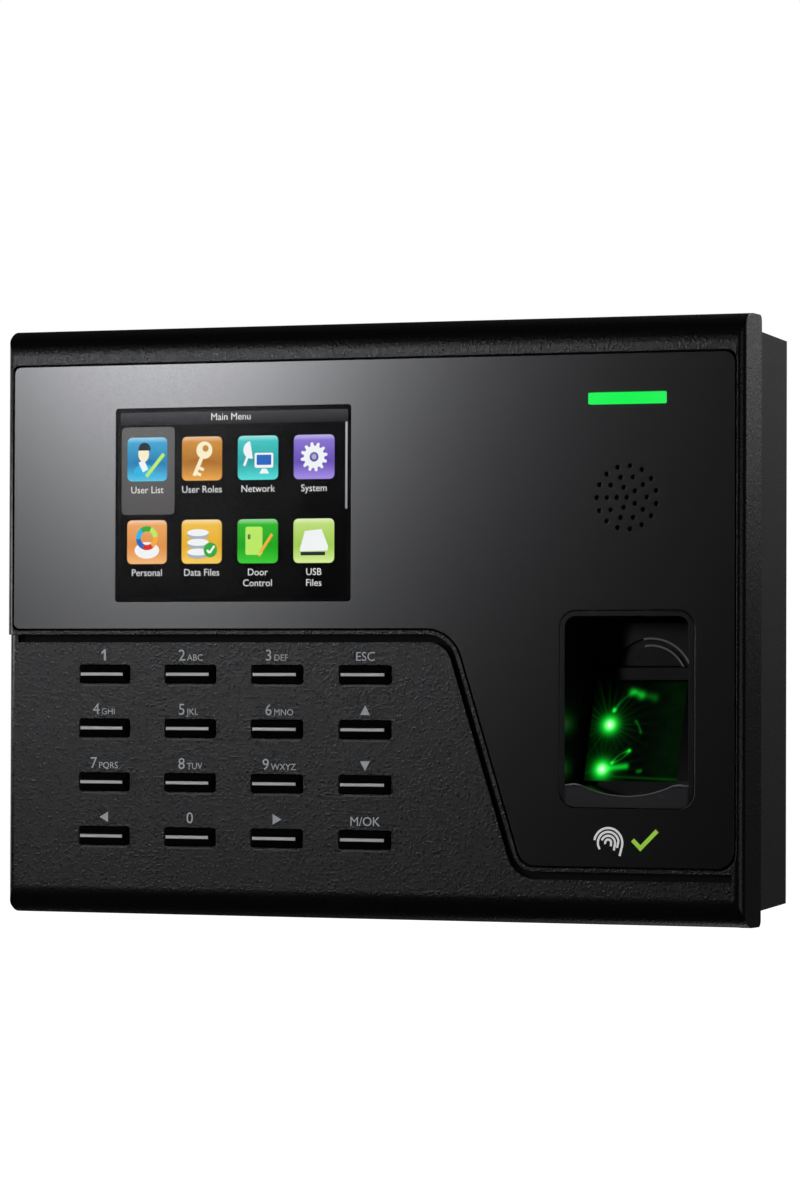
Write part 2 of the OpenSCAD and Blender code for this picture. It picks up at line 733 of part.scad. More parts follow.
module keypad_mat() {
    color("#8d9094") {
        difference() {
            translate([display_x, 0, pad_z]) layer(mat_back, mat_t) box(2 * pad_half_w - 1, 2 * pad_half_h - 1, 2);
            for (p = pad_holes) post(p.x, p.y, 0, case_d, boss_d + 2 * SLIP);
        }
        key_places() layer(mat_back + mat_t, pill_h) circle(d = 4.4);
    }
}

module keypad_board() {
    color("#0e5a3a") difference() {
        translate([display_x, 0, pad_z]) layer(mat_back - board_t, board_t) box(2 * pad_half_w, 2 * pad_half_h, 1);
        for (p = pad_holes) post(p.x, p.y, 0, case_d, board_screw + screw_play);
    }
}

module keypad_header() {
    front = mat_back - board_t;
    color("#101010")
        block(display_x + pad_half_w - 12, pad_z + pad_half_h - 4, main_off + board_t,
            [12, front - main_off - board_t, 5]);
}

// ---- Main board ----

module main_board() {
    color("#0b5c3c") difference() {
        translate([(main_left + main_right) / 2, 0, (main_top + main_low) / 2]) layer(main_off, board_t)
            box(main_right - main_left, main_top - main_low, 1.5);
        for (p = main_holes) post(p.x, p.y, 0, case_d, board_screw + screw_play);
    }
}

module processor() {
    color("#141416") block(main_left + 62, 18, main_off + board_t, [17, 1.4, 17]);
}

module memory_chips() {
    color("#18181b") for (dz = [-9, 9]) block(main_left + 40, 18 + dz, main_off + board_t, [14, 1.1, 10]);
}

module relay() {
    color("#2a5fb4") block(main_left + 24, -12, main_off - 10.5, [19, 10.5, 15]);
}

module coin_cell_holder() {
    color("#26262a") difference() {
        post(main_left + 56, 18, main_off - 5, 5, 24);
        post(main_left + 56, 18, main_off - 5 - PAST, 3.3 + PAST, 20.4);
    }
}

module coin_cell() {
    color("#c9ccd0") post(main_left + 56, 18, main_off - 4.9, 3.2, 20);
}

// Sockets over the cable bay: middle, width and height off the board's back
block_x = bay_x + 21;
ethernet_x = bay_x + 51;
power_x = bay_x + 66;
bay_sockets = [[block_x, 36, 9], [ethernet_x, 16, 13.4], [power_x, 9, 10.8]];

module socket_body(c, length) {
    block(c[0], bay_top + length / 2, main_off - c[2], [c[1], c[2], length]);
}

module ethernet_jack() {
    c = bay_sockets[1];
    color("#b4b7bb") difference() {
        socket_body(c, 16);
        block(c[0], bay_top, main_off - c[2] + 2, [11.8, 8.2, 22]);
    }
}

module power_jack() {
    c = bay_sockets[2];
    color("#1c1c1e") {
        difference() {
            socket_body(c, 14);
            translate([c[0], -(main_off - 6), bay_top - PAST]) cylinder(d = 6.4, h = 9 + PAST);
        }
        translate([c[0], -(main_off - 6), bay_top + 1]) cylinder(d = 2, h = 9);
    }
}

// Ten-way screw terminal with wire holes that open into the bay.
module terminal_block() {
    c = bay_sockets[0];
    color("#2f7d4a") difference() {
        socket_body(c, 9);
        for (i = [0 : 9]) {
            x = c[0] + (i - 4.5) * 3.5;
            block(x, bay_top, main_off - 4, [2.2, 2.4, 10]);
            post(x, bay_top + 5, main_off - c[2] - PAST, 2 + PAST, 2.2);
        }
    }
}

usb_w = 13.2;
usb_h = 5.8;
usb_x = bay_x + bay_w + bay_wall + usb_w / 2 + 4;

module usb_socket() {
    mouth = -rear_low_h - 0.1;
    color("#c4c7cb") {
        difference() {
            block(usb_x, mouth + 7, main_off - usb_h, [usb_w, usb_h, 14]);
            block(usb_x, mouth + 4, main_off - usb_h + 0.35, [usb_w - 0.7, usb_h - 0.7, 16]);
        }
        block(usb_x, mouth + 7.5, main_off - usb_h + 3.3, [usb_w - 2.6, 1.8, 11]);
    }
}

reset_x = main_right - 20;
reset_z = -14;
tamper_x = main_left + 14;
tamper_z = 12;
switch_gap = 0.05;

module reset_switch() {
    color("#2b2b2e") difference() {
        block(reset_x, reset_z, main_off - 3.5, [6, 3.5, 6]);
        post(reset_x, reset_z, main_off - 3.5 - PAST, 2 + PAST, 3.4 + 2 * switch_gap);
    }
}

module reset_button() {
    color("#d8d8d8") post(reset_x, reset_z, main_off - 4.5, 2.5, 3.4);
}

module tamper_switch() {
    color("#2b2b2e") difference() {
        block(tamper_x, tamper_z, main_off - 6, [7, 6, 7]);
        post(tamper_x, tamper_z, main_off - 6 - PAST, 4 + PAST, 3 + 2 * switch_gap);
    }
}

// The plunger stands on the wall plate while the terminal hangs on it.
module tamper_plunger() {
    color("#e2e2e2") post(tamper_x, tamper_z, plate_t, main_off - 3.5 - plate_t, 3);
}

// ---- Screws ----

// A pan-head screw: its head lies on the wall side of the plane it bears on.
module screw(x, z, off, length, d) {
    post(x, z, off, length, d);
    difference() {
        post(x, z, off - 0.6 * d, 0.6 * d, 1.9 * d);
        for (turn = [0, 90]) translate([x, 0, z]) rotate([0, turn, 0])
            layer(off - 0.6 * d - PAST, 0.3 * d + PAST) square([1.3 * d, 0.25 * d], center = true);
    }
}

module case_screws() {
    color("#a9adb2") for (sx = [-1, 1]) for (sz = [-1, 1])
        screw(sx * case_x, sz * case_z, screw_seat, post_off - screw_seat + 7, case_screw);
}

// Screws into the cover face forward. Those of the main board face the wall.
module board_screws() {
    color("#b9bdc2") {
        for (p = pad_holes) screw(p.x, p.y, mat_back - board_t, board_t + 3, board_screw);
        for (p = bracket_holes) screw(p.x, p.y, bracket_back, bracket_t + 2.6, board_screw);
        for (sx = [-1, 1]) screw(column_x + sx * light_hole_x, light_z, light_board_off - board_t, board_t + 3, board_screw);
        for (p = main_holes) translate([0, -2 * (main_off + board_t), 0]) mirror([0, 1, 0])
            screw(p.x, p.y, main_off + board_t, board_t + 6, board_screw);
    }
}

module lock_screw() {
    seat = -rear_h(lock_off + case_screw) - 0.05;
    color("#a9adb2") translate([lock_x, -lock_off, 0]) {
        translate([0, 0, seat]) cylinder(d = case_screw, h = -plate_half_h + tab_h + 1 - seat);
        translate([0, 0, seat - 1.8]) difference() {
            cylinder(d = 1.9 * case_screw, h = 1.8);
            for (turn = [0, 90]) rotate([0, 0, turn])
                cube([1.3 * case_screw, 0.25 * case_screw, 1.8], center = true);
        }
    }
}

wall_plate();
rear_housing();
front_cover();
front_panel();
screen_lens();
light_pipe();
lcd_gasket();
lcd_glass();
lcd_backlight();
lcd_frame();
lcd_bracket();
lcd_flex();
finger_guide();
sensor_prism();
sensor_housing();
sensor_camera();
sensor_leds();
sensor_board();
sensor_ribbon();
speaker_gasket();
speaker();
speaker_lead();
light_board();
status_leds();
key(0, 0);  // key_1
key(1, 0);  // key_2
key(2, 0);  // key_3
key(3, 0);  // key_esc
key(0, 1);  // key_4
key(1, 1);  // key_5
key(2, 1);  // key_6
key(3, 1);  // key_up
key(0, 2);  // key_7
key(1, 2);  // key_8
key(2, 2);  // key_9
key(3, 2);  // key_down
key(0, 3);  // key_left
key(1, 3);  // key_0
key(2, 3);  // key_right
key(3, 3);  // key_ok
keypad_mat();
keypad_board();
keypad_header();
main_board();
processor();
memory_chips();
relay();
coin_cell_holder();
coin_cell();
ethernet_jack();
power_jack();
terminal_block();
usb_socket();
reset_switch();
reset_button();
tamper_switch();
tamper_plunger();
case_screws();
board_screws();
lock_screw();
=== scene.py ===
"""Looks of a wall-mounted fingerprint terminal, built around its CAD frame.

Lengths are in metres in the frame of the CAD model: +X is right, +Z is up, the wall is the
plane y = 0 and the face looks along -Y.
"""

import math

import bmesh
import bpy
from mathutils import Matrix, Vector


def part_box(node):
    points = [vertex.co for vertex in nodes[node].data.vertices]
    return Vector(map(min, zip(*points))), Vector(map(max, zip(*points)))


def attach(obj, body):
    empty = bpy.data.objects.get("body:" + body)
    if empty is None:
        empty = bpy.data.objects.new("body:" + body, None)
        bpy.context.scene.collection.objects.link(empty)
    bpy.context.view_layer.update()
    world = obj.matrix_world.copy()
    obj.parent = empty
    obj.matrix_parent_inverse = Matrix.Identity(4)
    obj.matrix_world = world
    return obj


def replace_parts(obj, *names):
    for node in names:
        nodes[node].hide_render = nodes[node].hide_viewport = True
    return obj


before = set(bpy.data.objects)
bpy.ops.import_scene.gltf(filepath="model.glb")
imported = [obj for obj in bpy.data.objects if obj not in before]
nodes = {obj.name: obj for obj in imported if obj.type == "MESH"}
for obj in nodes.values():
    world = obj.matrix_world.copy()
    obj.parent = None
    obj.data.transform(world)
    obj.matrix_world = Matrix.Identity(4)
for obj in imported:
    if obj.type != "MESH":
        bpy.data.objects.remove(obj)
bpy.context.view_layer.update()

MM = 0.001
ROOT = "terminal"
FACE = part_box("front_panel")[0].y
KEY_NAMES = [["1", "2", "3", "esc"], ["4", "5", "6", "up"],
             ["7", "8", "9", "down"], ["left", "0", "right", "ok"]]
KEY_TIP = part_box("key_1")[0].y
KEY_RISE = 1.7 * MM
KEYPAD_FACE = KEY_TIP + KEY_RISE
SLOT_HALF = 2.2 * MM

# The cover's recesses lie within this half width and half height; its rim is outside.
RECESS_HALF_W = 89.1 * MM
RECESS_HALF_H = 62.8 * MM

# Printed marks are thin layers that stand this far proud of the face they are on.
PRINT_RISE = 0.03 * MM
PRINT_T = 0.025 * MM


# ---- Shader building ----

class Value:
    """A socket that takes part in plain arithmetic."""

    def __init__(self, look, socket):
        self.look = look
        self.socket = socket

    def math(self, operation, *others):
        inputs = dict(enumerate((self, *others)))
        return self.look.node("ShaderNodeMath", {"operation": operation}, inputs)

    def __add__(self, other):
        return self.math("ADD", other)

    def __sub__(self, other):
        return self.math("SUBTRACT", other)

    def __mul__(self, other):
        return self.math("MULTIPLY", other)

    def __truediv__(self, other):
        return self.math("DIVIDE", other)

    def __rsub__(self, other):
        return self.look.node("ShaderNodeMath", {"operation": "SUBTRACT"}, {0: other, 1: self})

    __radd__ = __add__
    __rmul__ = __mul__

    def clamped(self):
        return self.math("MINIMUM", 1.0).math("MAXIMUM", 0.0)

    def power(self, exponent):
        return self.math("POWER", exponent)


class Look:
    """A material around one Principled shader."""

    def __init__(self, name, **surface):
        self.material = bpy.data.materials.new(name)
        self.material.use_nodes = True
        self.tree = self.material.node_tree
        self.shader = self.tree.nodes["Principled BSDF"]
        for socket, value in surface.items():
            self.feed(self.shader.inputs[socket.replace("_", " ")], value)

    def node(self, kind, settings=None, sockets=None, out=0):
        """Adds a node, feeds its sockets, and gives back one of its outputs."""
        node = self.tree.nodes.new(kind)
        for name, value in (settings or {}).items():
            setattr(node, name, value)
        for name, value in (sockets or {}).items():
            self.feed(node.inputs[name], value)
        return Value(self, node.outputs[out])

    def feed(self, socket, value):
        """Links a value to a socket, or sets a constant on it."""
        if isinstance(value, Value):
            self.tree.links.new(value.socket, socket)
        else:
            socket.default_value = value

    def set(self, **links):
        """Feeds the shader's sockets by name."""
        for name, value in links.items():
            self.feed(self.shader.inputs[name.replace("_", " ")], value)
        return self

    def place(self):
        """The piece's own coordinates in metres, which for a CAD node are the frame's."""
        return self.node("ShaderNodeTexCoord", out="Object")

    def axes(self):
        parts = self.node("ShaderNodeSeparateXYZ", sockets={0: self.place()})
        return [Value(self, socket) for socket in parts.socket.node.outputs]

    def noise(self, size, detail=3.0, roughness=0.55, at=None):
        """Cloudy noise with features of a given size."""
        return self.node("ShaderNodeTexNoise", sockets={
            "Vector": at or self.place(), "Scale": 1.0 / size, "Detail": detail, "Roughness": roughness})

    def cells(self, size, feature, at):
        return self.node("ShaderNodeTexVoronoi", {"feature": feature}, {"Vector": at, "Scale": 1.0 / size})

    def spread(self, value, low, high, to_low=0.0, to_high=1.0):
        """Stretches the range from low to high over the range from to_low to to_high."""
        return self.node("ShaderNodeMapRange", {"clamp": True},
                         {0: value, 1: low, 2: high, 3: to_low, 4: to_high})

    def mix(self, factor, a, b):
        a, b = [(*c, 1.0) if isinstance(c, tuple) and len(c) == 3 else c for c in (a, b)]
        return self.node("ShaderNodeMix", {"data_type": "RGBA"}, {0: factor, 6: a, 7: b}, out=2)

    def bump(self, height, depth, strength=1.0, edge=0.15 * MM):
        """Fine relief on a surface whose edges are broken by a small radius."""
        rounded_edges = self.node("ShaderNodeBevel", {"samples": 6}, {"Radius": edge})
        return self.node("ShaderNodeBump", sockets={
            "Strength": strength, "Distance": depth, "Height": height, "Normal": rounded_edges})


def stretched(look, x, y, z):
    """The object place, scaled along each axis."""
    return look.node("ShaderNodeVectorMath", {"operation": "MULTIPLY"}, {0: look.place(), 1: (x, y, z)})


# ---- Finishes ----

def grained_plastic(name, dark, light, grain, depth, roughness, painted_shade_from=None):
    """Moulded plastic with a fine leather grain, with painted shade in the slots and the groove: there it
    is painted matt and black where they lie in shadow.
    """
    look = Look(name, Specular_IOR_Level=0.25)
    pores = look.spread(look.noise(grain, 2.0, 0.5), 0.3, 0.7)
    creases = look.spread(look.noise(grain * 1.6, 2.0, 0.6), 0.35, 0.65)
    height = pores * 0.6 + creases * 0.4
    tone = height * 0.7 + look.noise(18 * MM, 2.0) * 0.3
    rough = look.spread(height, 0.0, 1.0, roughness + 0.05, roughness - 0.03)
    colour = look.mix(tone, dark, light)
    if painted_shade_from:
        # Painted shade: behind the given depth, within the recesses, the colour goes near black and fully
        # matt for the shadow in the slots and the groove.
        x, y, z = look.axes()
        soft = 0.2 * MM
        across, rise = x.math("ABSOLUTE"), z.math("ABSOLUTE")
        inside = look.spread(rise, RECESS_HALF_H - soft, RECESS_HALF_H + soft, 1.0, 0.0)
        inside = inside * look.spread(across, RECESS_HALF_W - soft, RECESS_HALF_W + soft, 1.0, 0.0)
        inside = inside * look.spread(y, painted_shade_from, painted_shade_from + 0.1 * MM)
        rough = rough * (1 - inside) + inside * 0.95
        colour = look.mix(inside, colour, (0.0008, 0.0008, 0.0009))
    return look.set(Base_Color=colour, Roughness=rough, Normal=look.bump(height, depth))


def satin_plastic(name, dark, light, roughness, waviness=0.004):
    """Smooth moulded plastic with faint flow marks and fine dust-like roughness."""
    look = Look(name, Specular_IOR_Level=0.5)
    flow = look.noise(30 * MM, 2.0, at=stretched(look, 1.0, 1.0, 0.35))
    fine = look.noise(0.35 * MM, 2.0)
    return look.set(Base_Color=look.mix(look.spread(flow, 0.3, 0.7), dark, light),
                    Roughness=look.spread(fine, 0.3, 0.7, roughness - 0.02, roughness + 0.03),
                    Normal=look.bump(fine, waviness * MM, 0.6))


def sheet_metal(name, dark, light, roughness, grain=(1.0, 1.0, 30.0)):
    """Rolled and plated sheet with directional streaks."""
    look = Look(name, Metallic=0.75)
    streaks = look.noise(6 * MM, 5.0, 0.65, at=stretched(look, *grain))
    clouds = look.noise(14 * MM, 3.0)
    tone = look.spread(streaks, 0.3, 0.7) * 0.6 + look.spread(clouds, 0.3, 0.7) * 0.4
    return look.set(Base_Color=look.mix(tone, dark, light),
                    Roughness=look.spread(streaks, 0.3, 0.7, roughness - 0.07, roughness + 0.1),
                    Normal=look.bump(streaks, 0.01 * MM, 0.5))


def moulded(name, dark, light, roughness=0.5):
    """Plain moulded part with a fine spark-eroded texture."""
    look = Look(name)
    fine = look.noise(0.25 * MM, 3.0)
    return look.set(Base_Color=look.mix(look.spread(look.noise(5 * MM), 0.35, 0.65), dark, light),
                    Roughness=look.spread(fine, 0.3, 0.7, roughness - 0.05, roughness + 0.08),
                    Normal=look.bump(fine, 0.01 * MM, 0.7))


def circuit_board(name):
    """Green solder mask over copper tracks and pads."""
    look = Look(name, Coat_Weight=0.4, Coat_Roughness=0.2)
    tracks = look.cells(2.4 * MM, "DISTANCE_TO_EDGE", at=stretched(look, 1.0, 0.05, 1.0))
    copper = look.spread(tracks, 0.08, 0.12, 1.0, 0.0)
    return look.set(Base_Color=look.mix(copper, (0.006, 0.07, 0.03), (0.02, 0.17, 0.07)),
                    Roughness=look.spread(look.noise(1 * MM), 0.3, 0.7, 0.3, 0.42),
                    Normal=look.bump(copper, 0.03 * MM, 0.6))


def glow(name, low, high, size, strength=1.0):
    """A lit area of the display, a little uneven like a real backlight."""
    look = Look(name, Base_Color=(0.0, 0.0, 0.0, 1.0), Roughness=0.6, Specular_IOR_Level=0.0,
                Emission_Strength=strength)
    rise = look.axes()[2]
    tone = look.spread(rise, -size / 2, size / 2) * 0.85 + look.noise(3 * MM, 1.0) * 0.15
    return look.set(Emission_Color=look.mix(tone, low, high))


def tile_glow(name, deep, bright, half):
    """A glossy menu tile: light at the foot, deepest across the middle, with a sheen over its top."""
    look = Look(name, Base_Color=(0.0, 0.0, 0.0, 1.0), Roughness=0.6, Specular_IOR_Level=0.0,
                Emission_Strength=1.0)
    x, _, z = look.axes()
    rise = look.spread(z, -half, half)
    foot = look.spread(rise, 0.0, 0.5, 1.0, 0.0).power(1.3)
    horizon = rise + x * x * (0.10 / half ** 2)
    sheen = look.spread(horizon, 0.46, 0.52) * look.spread(rise, 0.45, 0.9, 0.15, 0.55)
    crown = look.spread(rise, 0.88, 0.99) * 0.8
    pale = tuple(0.35 + 0.65 * c for c in bright)
    glossed = look.mix(sheen, look.mix(foot, deep, bright), bright)
    return look.set(Emission_Color=look.mix(crown, glossed, pale))


# ---- Mesh building ----

ROUND_STEPS = 24
CORNER_STEPS = 6


def arc_points(centre, radius, start, stop, steps):
    """Points along an arc, with its angles in degrees."""
    return [(centre[0] + radius * math.cos(math.radians(start + (stop - start) * i / steps)),
             centre[1] + radius * math.sin(math.radians(start + (stop - start) * i / steps)))
            for i in range(steps + 1)]


def disc(x, z, radius):
    return arc_points((x, z), radius, 0, 360 - 360 / ROUND_STEPS, ROUND_STEPS - 1)


def oval(x, z, wide, high):
    turns = [2 * math.pi * i / ROUND_STEPS for i in range(ROUND_STEPS)]
    return [(x + wide * math.cos(a), z + high * math.sin(a)) for a in turns]


def rounded(x, z, w, h, r):
    """A rectangle with rounded corners."""
    points = []
    for sx, sz, start in ((1, 1, 0), (-1, 1, 90), (-1, -1, 180), (1, -1, 270)):
        centre = (x + sx * (w / 2 - r), z + sz * (h / 2 - r))
        points += arc_points(centre, r, start, start + 90, CORNER_STEPS)
    return points


def bar(a, b, width):
    """A straight stroke between two points."""
    run = Vector((b[0] - a[0], b[1] - a[1]))
    side = Vector((-run.y, run.x)).normalized() * width / 2
    return [(a[0] + side.x, a[1] + side.y), (a[0] - side.x, a[1] - side.y),
            (b[0] - side.x, b[1] - side.y), (b[0] + side.x, b[1] + side.y)]


def band(centre, radius, width, start, stop, steps):
    """A stroke along an arc."""
    outer = arc_points(centre, radius + width / 2, start, stop, steps)
    return outer + arc_points(centre, radius - width / 2, stop, start, steps)


def turned(points, angle, x, z):
    """Points turned about the origin and moved to a place."""
    c, s = math.cos(math.radians(angle)), math.sin(math.radians(angle))
    return [(x + c * p[0] - s * p[1], z + s * p[0] + c * p[1]) for p in points]


class Layer:
    """Flat shapes in X and Z that stand on one plane and make one mesh.

    Front is the plane's Y, and centre moves the piece's own place to the middle of its shapes."""

    def __init__(self, name, front, thickness, centre=(0.0, 0.0)):
        self.name = name
        self.front = front
        self.thickness = thickness
        self.centre = centre
        self.bm = bmesh.new()

    def shape(self, *outlines):
        """One shape: its outline and then the outlines of its holes."""
        edges = []
        for points in outlines:
            verts = [self.bm.verts.new((p[0], 0.0, p[1])) for p in points]
            edges += [self.bm.edges.new((verts[i - 1], verts[i])) for i in range(len(verts))]
        made = bmesh.ops.triangle_fill(self.bm, use_beauty=True, use_dissolve=False, edges=edges)
        faces = [g for g in made["geom"] if isinstance(g, bmesh.types.BMFace)]
        self._thicken(faces)

    def _thicken(self, faces):
        """Turns flat faces to the front and gives them a back and sides."""
        for face in faces:
            face.normal_update()
            if face.normal.y > 0:
                face.normal_flip()
        copy = bmesh.ops.duplicate(self.bm, geom=faces)
        back = [g for g in copy["geom"] if isinstance(g, bmesh.types.BMFace)]
        edges = {e for f in faces for e in f.edges}
        border = [e for e in edges if len([f for f in e.link_faces if f in faces]) == 1]
        twin = copy["vert_map"]
        for vert in {v for f in back for v in f.verts}:
            vert.co.y += self.thickness
        for face in back:
            face.normal_flip()
        for edge in border:
            a, b = edge.verts
            self.bm.faces.new((a, b, twin[b], twin[a]))

    def words(self, text, x, z, size, align="CENTER"):
        """Adds one line of generic words."""
        curve = bpy.data.curves.new(self.name + "_words", "FONT")
        curve.body = text
        curve.size = size
        curve.align_x = align
        curve.resolution_u = 3
        holder = bpy.data.objects.new(self.name + "_words", curve)
        bpy.context.scene.collection.objects.link(holder)
        bpy.context.view_layer.update()
        flat = holder.evaluated_get(bpy.context.evaluated_depsgraph_get())
        mesh = bpy.data.meshes.new_from_object(flat)
        mesh.transform(Matrix.Translation((x, 0, z)) @ Matrix.Rotation(math.pi / 2, 4, "X"))
        old = set(self.bm.faces)
        self.bm.from_mesh(mesh)
        faces = [f for f in self.bm.faces if f not in old]
        self._thicken(faces)
        bpy.data.objects.remove(holder)
        bpy.data.meshes.remove(mesh)

    def done(self, look, slot_name, body=ROOT, bevel=0.0):
        """Makes the mesh and rides it on its body."""
        bmesh.ops.remove_doubles(self.bm, verts=self.bm.verts, dist=1e-7)
        bmesh.ops.recalc_face_normals(self.bm, faces=self.bm.faces)
        mesh = bpy.data.meshes.new(self.name)
        self.bm.to_mesh(mesh)
        self.bm.free()
        piece = bpy.data.objects.new(self.name, mesh)
        bpy.context.scene.collection.objects.link(piece)
        piece.location = (self.centre[0], self.front, self.centre[1])
        mesh.materials.append(look.material)
        if bevel:
            soften(piece, bevel)
        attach(piece, body)
        return piece


def soften(piece, width):
    """Rounds the sharp edges of one of the flat shapes."""
    bevel = piece.modifiers.new("edges", "BEVEL")
    bevel.width = width
    bevel.segments = 3
    bevel.limit_method = "ANGLE"
    bevel.angle_limit = math.radians(30)


def smooth_curves(piece):
    """Shades the rounded parts smoothly and keeps the flats flat."""
    piece.modifiers.new("join", "WELD").merge_threshold = 1e-6
    flat = piece.modifiers.new("flats", "DECIMATE")
    flat.decimate_type = "DISSOLVE"
    flat.angle_limit = math.radians(0.5)
    piece.modifiers.new("corners", "EDGE_SPLIT").split_angle = math.radians(28)
    piece.data.polygons.foreach_set("use_smooth", [True] * len(piece.data.polygons))
    piece.modifiers.new("shading", "WEIGHTED_NORMAL").mode = "FACE_AREA"


def finish_node(name, look):
    """Gives a CAD node its material and its shading."""
    node = nodes[name]
    node.data.materials.clear()
    node.data.materials.append(look.material)
    smooth_curves(node)


# ---- Case, panel and keys ----

def dress_case():
    """Grained shell, grained housing and satin panel."""
    # The shell's slots and groove, behind the keypad face, get painted shade.
    cover = grained_plastic("cover_grain", (0.0012, 0.0012, 0.0014), (0.005, 0.005, 0.0055), 0.54 * MM,
                           0.044 * MM, 0.28, KEYPAD_FACE + 0.2 * MM)
    housing = grained_plastic("housing_grain", (0.007, 0.007, 0.008), (0.012, 0.012, 0.013), 0.4 * MM,
                              0.03 * MM, 0.45)
    panel = satin_plastic("panel_satin", (0.005, 0.005, 0.0055), (0.007, 0.007, 0.0075), 0.155, 0.001)
    finish_node("front_cover", cover)
    finish_node("rear_housing", housing)
    finish_node("front_panel", panel)


def key_look():
    """Black keys whose flat ridge is hot-stamped in silver."""
    look = Look("key_black_and_silver", Specular_IOR_Level=0.06)
    depth = look.axes()[1]
    ridge = look.spread(depth, KEY_TIP + 0.01 * MM, KEY_TIP + 0.05 * MM, 1.0, 0.0)
    fine = look.noise(0.3 * MM)
    black = look.mix(fine, (0.0006, 0.0006, 0.0006), (0.0015, 0.0015, 0.0015))
    silver = look.mix(fine, (0.42, 0.42, 0.42), (0.56, 0.56, 0.56))
    return look.set(Base_Color=look.mix(ridge, black, silver),
                    Metallic=ridge * 0.4, Roughness=look.spread(fine, 0.3, 0.7, 0.86, 0.92) - ridge * 0.45,
                    Normal=look.bump(fine, 0.006 * MM, 0.5))


def dress_keys():
    look = key_look()
    for row in KEY_NAMES:
        for name in row:
            finish_node("key_" + name, look)


def key_places():
    """Each key's name and the middle of its face."""
    places = []
    for row in KEY_NAMES:
        for name in row:
            low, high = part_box("key_" + name)
            places.append((name, (low.x + high.x) / 2, (low.z + high.z) / 2))
    return places


def figure_one(x, z):
    """A one with a short flag, drawn as one outline."""
    stem, tall, flag = 0.55 * MM, 2.6 * MM, 0.6 * MM
    left, right, top = x - stem / 2, x + stem / 2, z + tall
    return [(left, z), (right, z), (right, top), (x - stem / 3, top),
            (left - flag, top - flag), (left - flag, top - 2 * flag), (left, top - 1.2 * flag)]


def legends():
    """Printed marks over the keys."""
    ink = Look("legend_ink", Roughness=0.55)
    speckle = ink.spread(ink.noise(0.3 * MM), 0.35, 0.65)
    ink.set(Base_Color=ink.mix(speckle, (0.62, 0.66, 0.70), (0.76, 0.80, 0.84)))
    layer = Layer("key_legends", KEYPAD_FACE - PRINT_RISE, PRINT_T)
    letters = {"2": "ABC", "3": "DEF", "4": "GHI", "5": "JKL", "6": "MNO", "7": "PQRS", "8": "TUV",
               "9": "WXYZ"}
    arrows = {"up": 0, "left": 90, "down": 180, "right": 270}
    words = {"esc": "ESC", "ok": "M/OK"}
    size, small = 3.7 * MM, 2.1 * MM
    letter_step = 0.62 * small
    for name, x, middle in key_places():
        z = middle + SLOT_HALF + 1.0 * MM
        if name in letters:
            start = x - len(letters[name]) * letter_step / 2
            layer.words(name, start - 0.2 * MM, z, size)
            layer.words(letters[name], start + 1.1 * MM, z, small, "LEFT")
        elif name == "1":
            layer.shape(figure_one(x, z))
        elif name in arrows:
            arrow = [(-1.2 * MM, -1.0 * MM), (1.2 * MM, -1.0 * MM), (0.0, 1.2 * MM)]
            layer.shape(turned(arrow, arrows[name], x, z + 1.2 * MM))
        elif name in words:
            layer.words(words[name], x, z, size * 0.8)
        else:
            layer.words(name, x, z, size)
    layer.done(ink, "key_plastic")


def slot_sill_highlights():
    """Painted highlights on the lower edges of the key slots: thin sheets a little brighter than the
    cover, where the sills catch the light.
    """
    # A brighter satin that paints the highlight on each sill.
    sill_highlight_look = satin_plastic("slot_sill", (0.020, 0.020, 0.021), (0.032, 0.032, 0.033), 0.4)
    layer = Layer("slot_sill_highlights", KEYPAD_FACE - 0.02 * MM, 0.015 * MM)
    for name, x, z in key_places():
        layer.shape(rounded(x, z - SLOT_HALF - 0.42 * MM, 11.6 * MM, 0.34 * MM, 0.15 * MM))
    layer.done(sill_highlight_look, "cover_plastic")


# ---- Display ----

SCREEN_LOW, SCREEN_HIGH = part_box("screen_lens")
LENS_EDGE = 0.9 * MM
PICTURE_W = SCREEN_HIGH.x - SCREEN_LOW.x - 2 * LENS_EDGE
PICTURE_H = SCREEN_HIGH.z - SCREEN_LOW.z - 2 * LENS_EDGE
SCREEN_X = (SCREEN_LOW.x + SCREEN_HIGH.x) / 2
SCREEN_Z = (SCREEN_LOW.z + SCREEN_HIGH.z) / 2
PICTURE_LEFT = SCREEN_X - PICTURE_W / 2
PICTURE_TOP = SCREEN_Z + PICTURE_H / 2
WINDOW_T = 0.3 * MM
LIFT = 0.02 * MM
SHEET = LIFT * 0.8
GROUND_DEPTH = 0.18 * MM
TILE = 10.2 * MM
TENTH = TILE / 10
TILE_COLUMNS = [6.9 * MM, 20.9 * MM, 35.1 * MM, 49.2 * MM]
TILE_ROWS = [10.9 * MM, 30.2 * MM]


def picture_plane(level):
    """Front of a layer of the picture, under the window."""
    return FACE + WINDOW_T + GROUND_DEPTH - level * LIFT


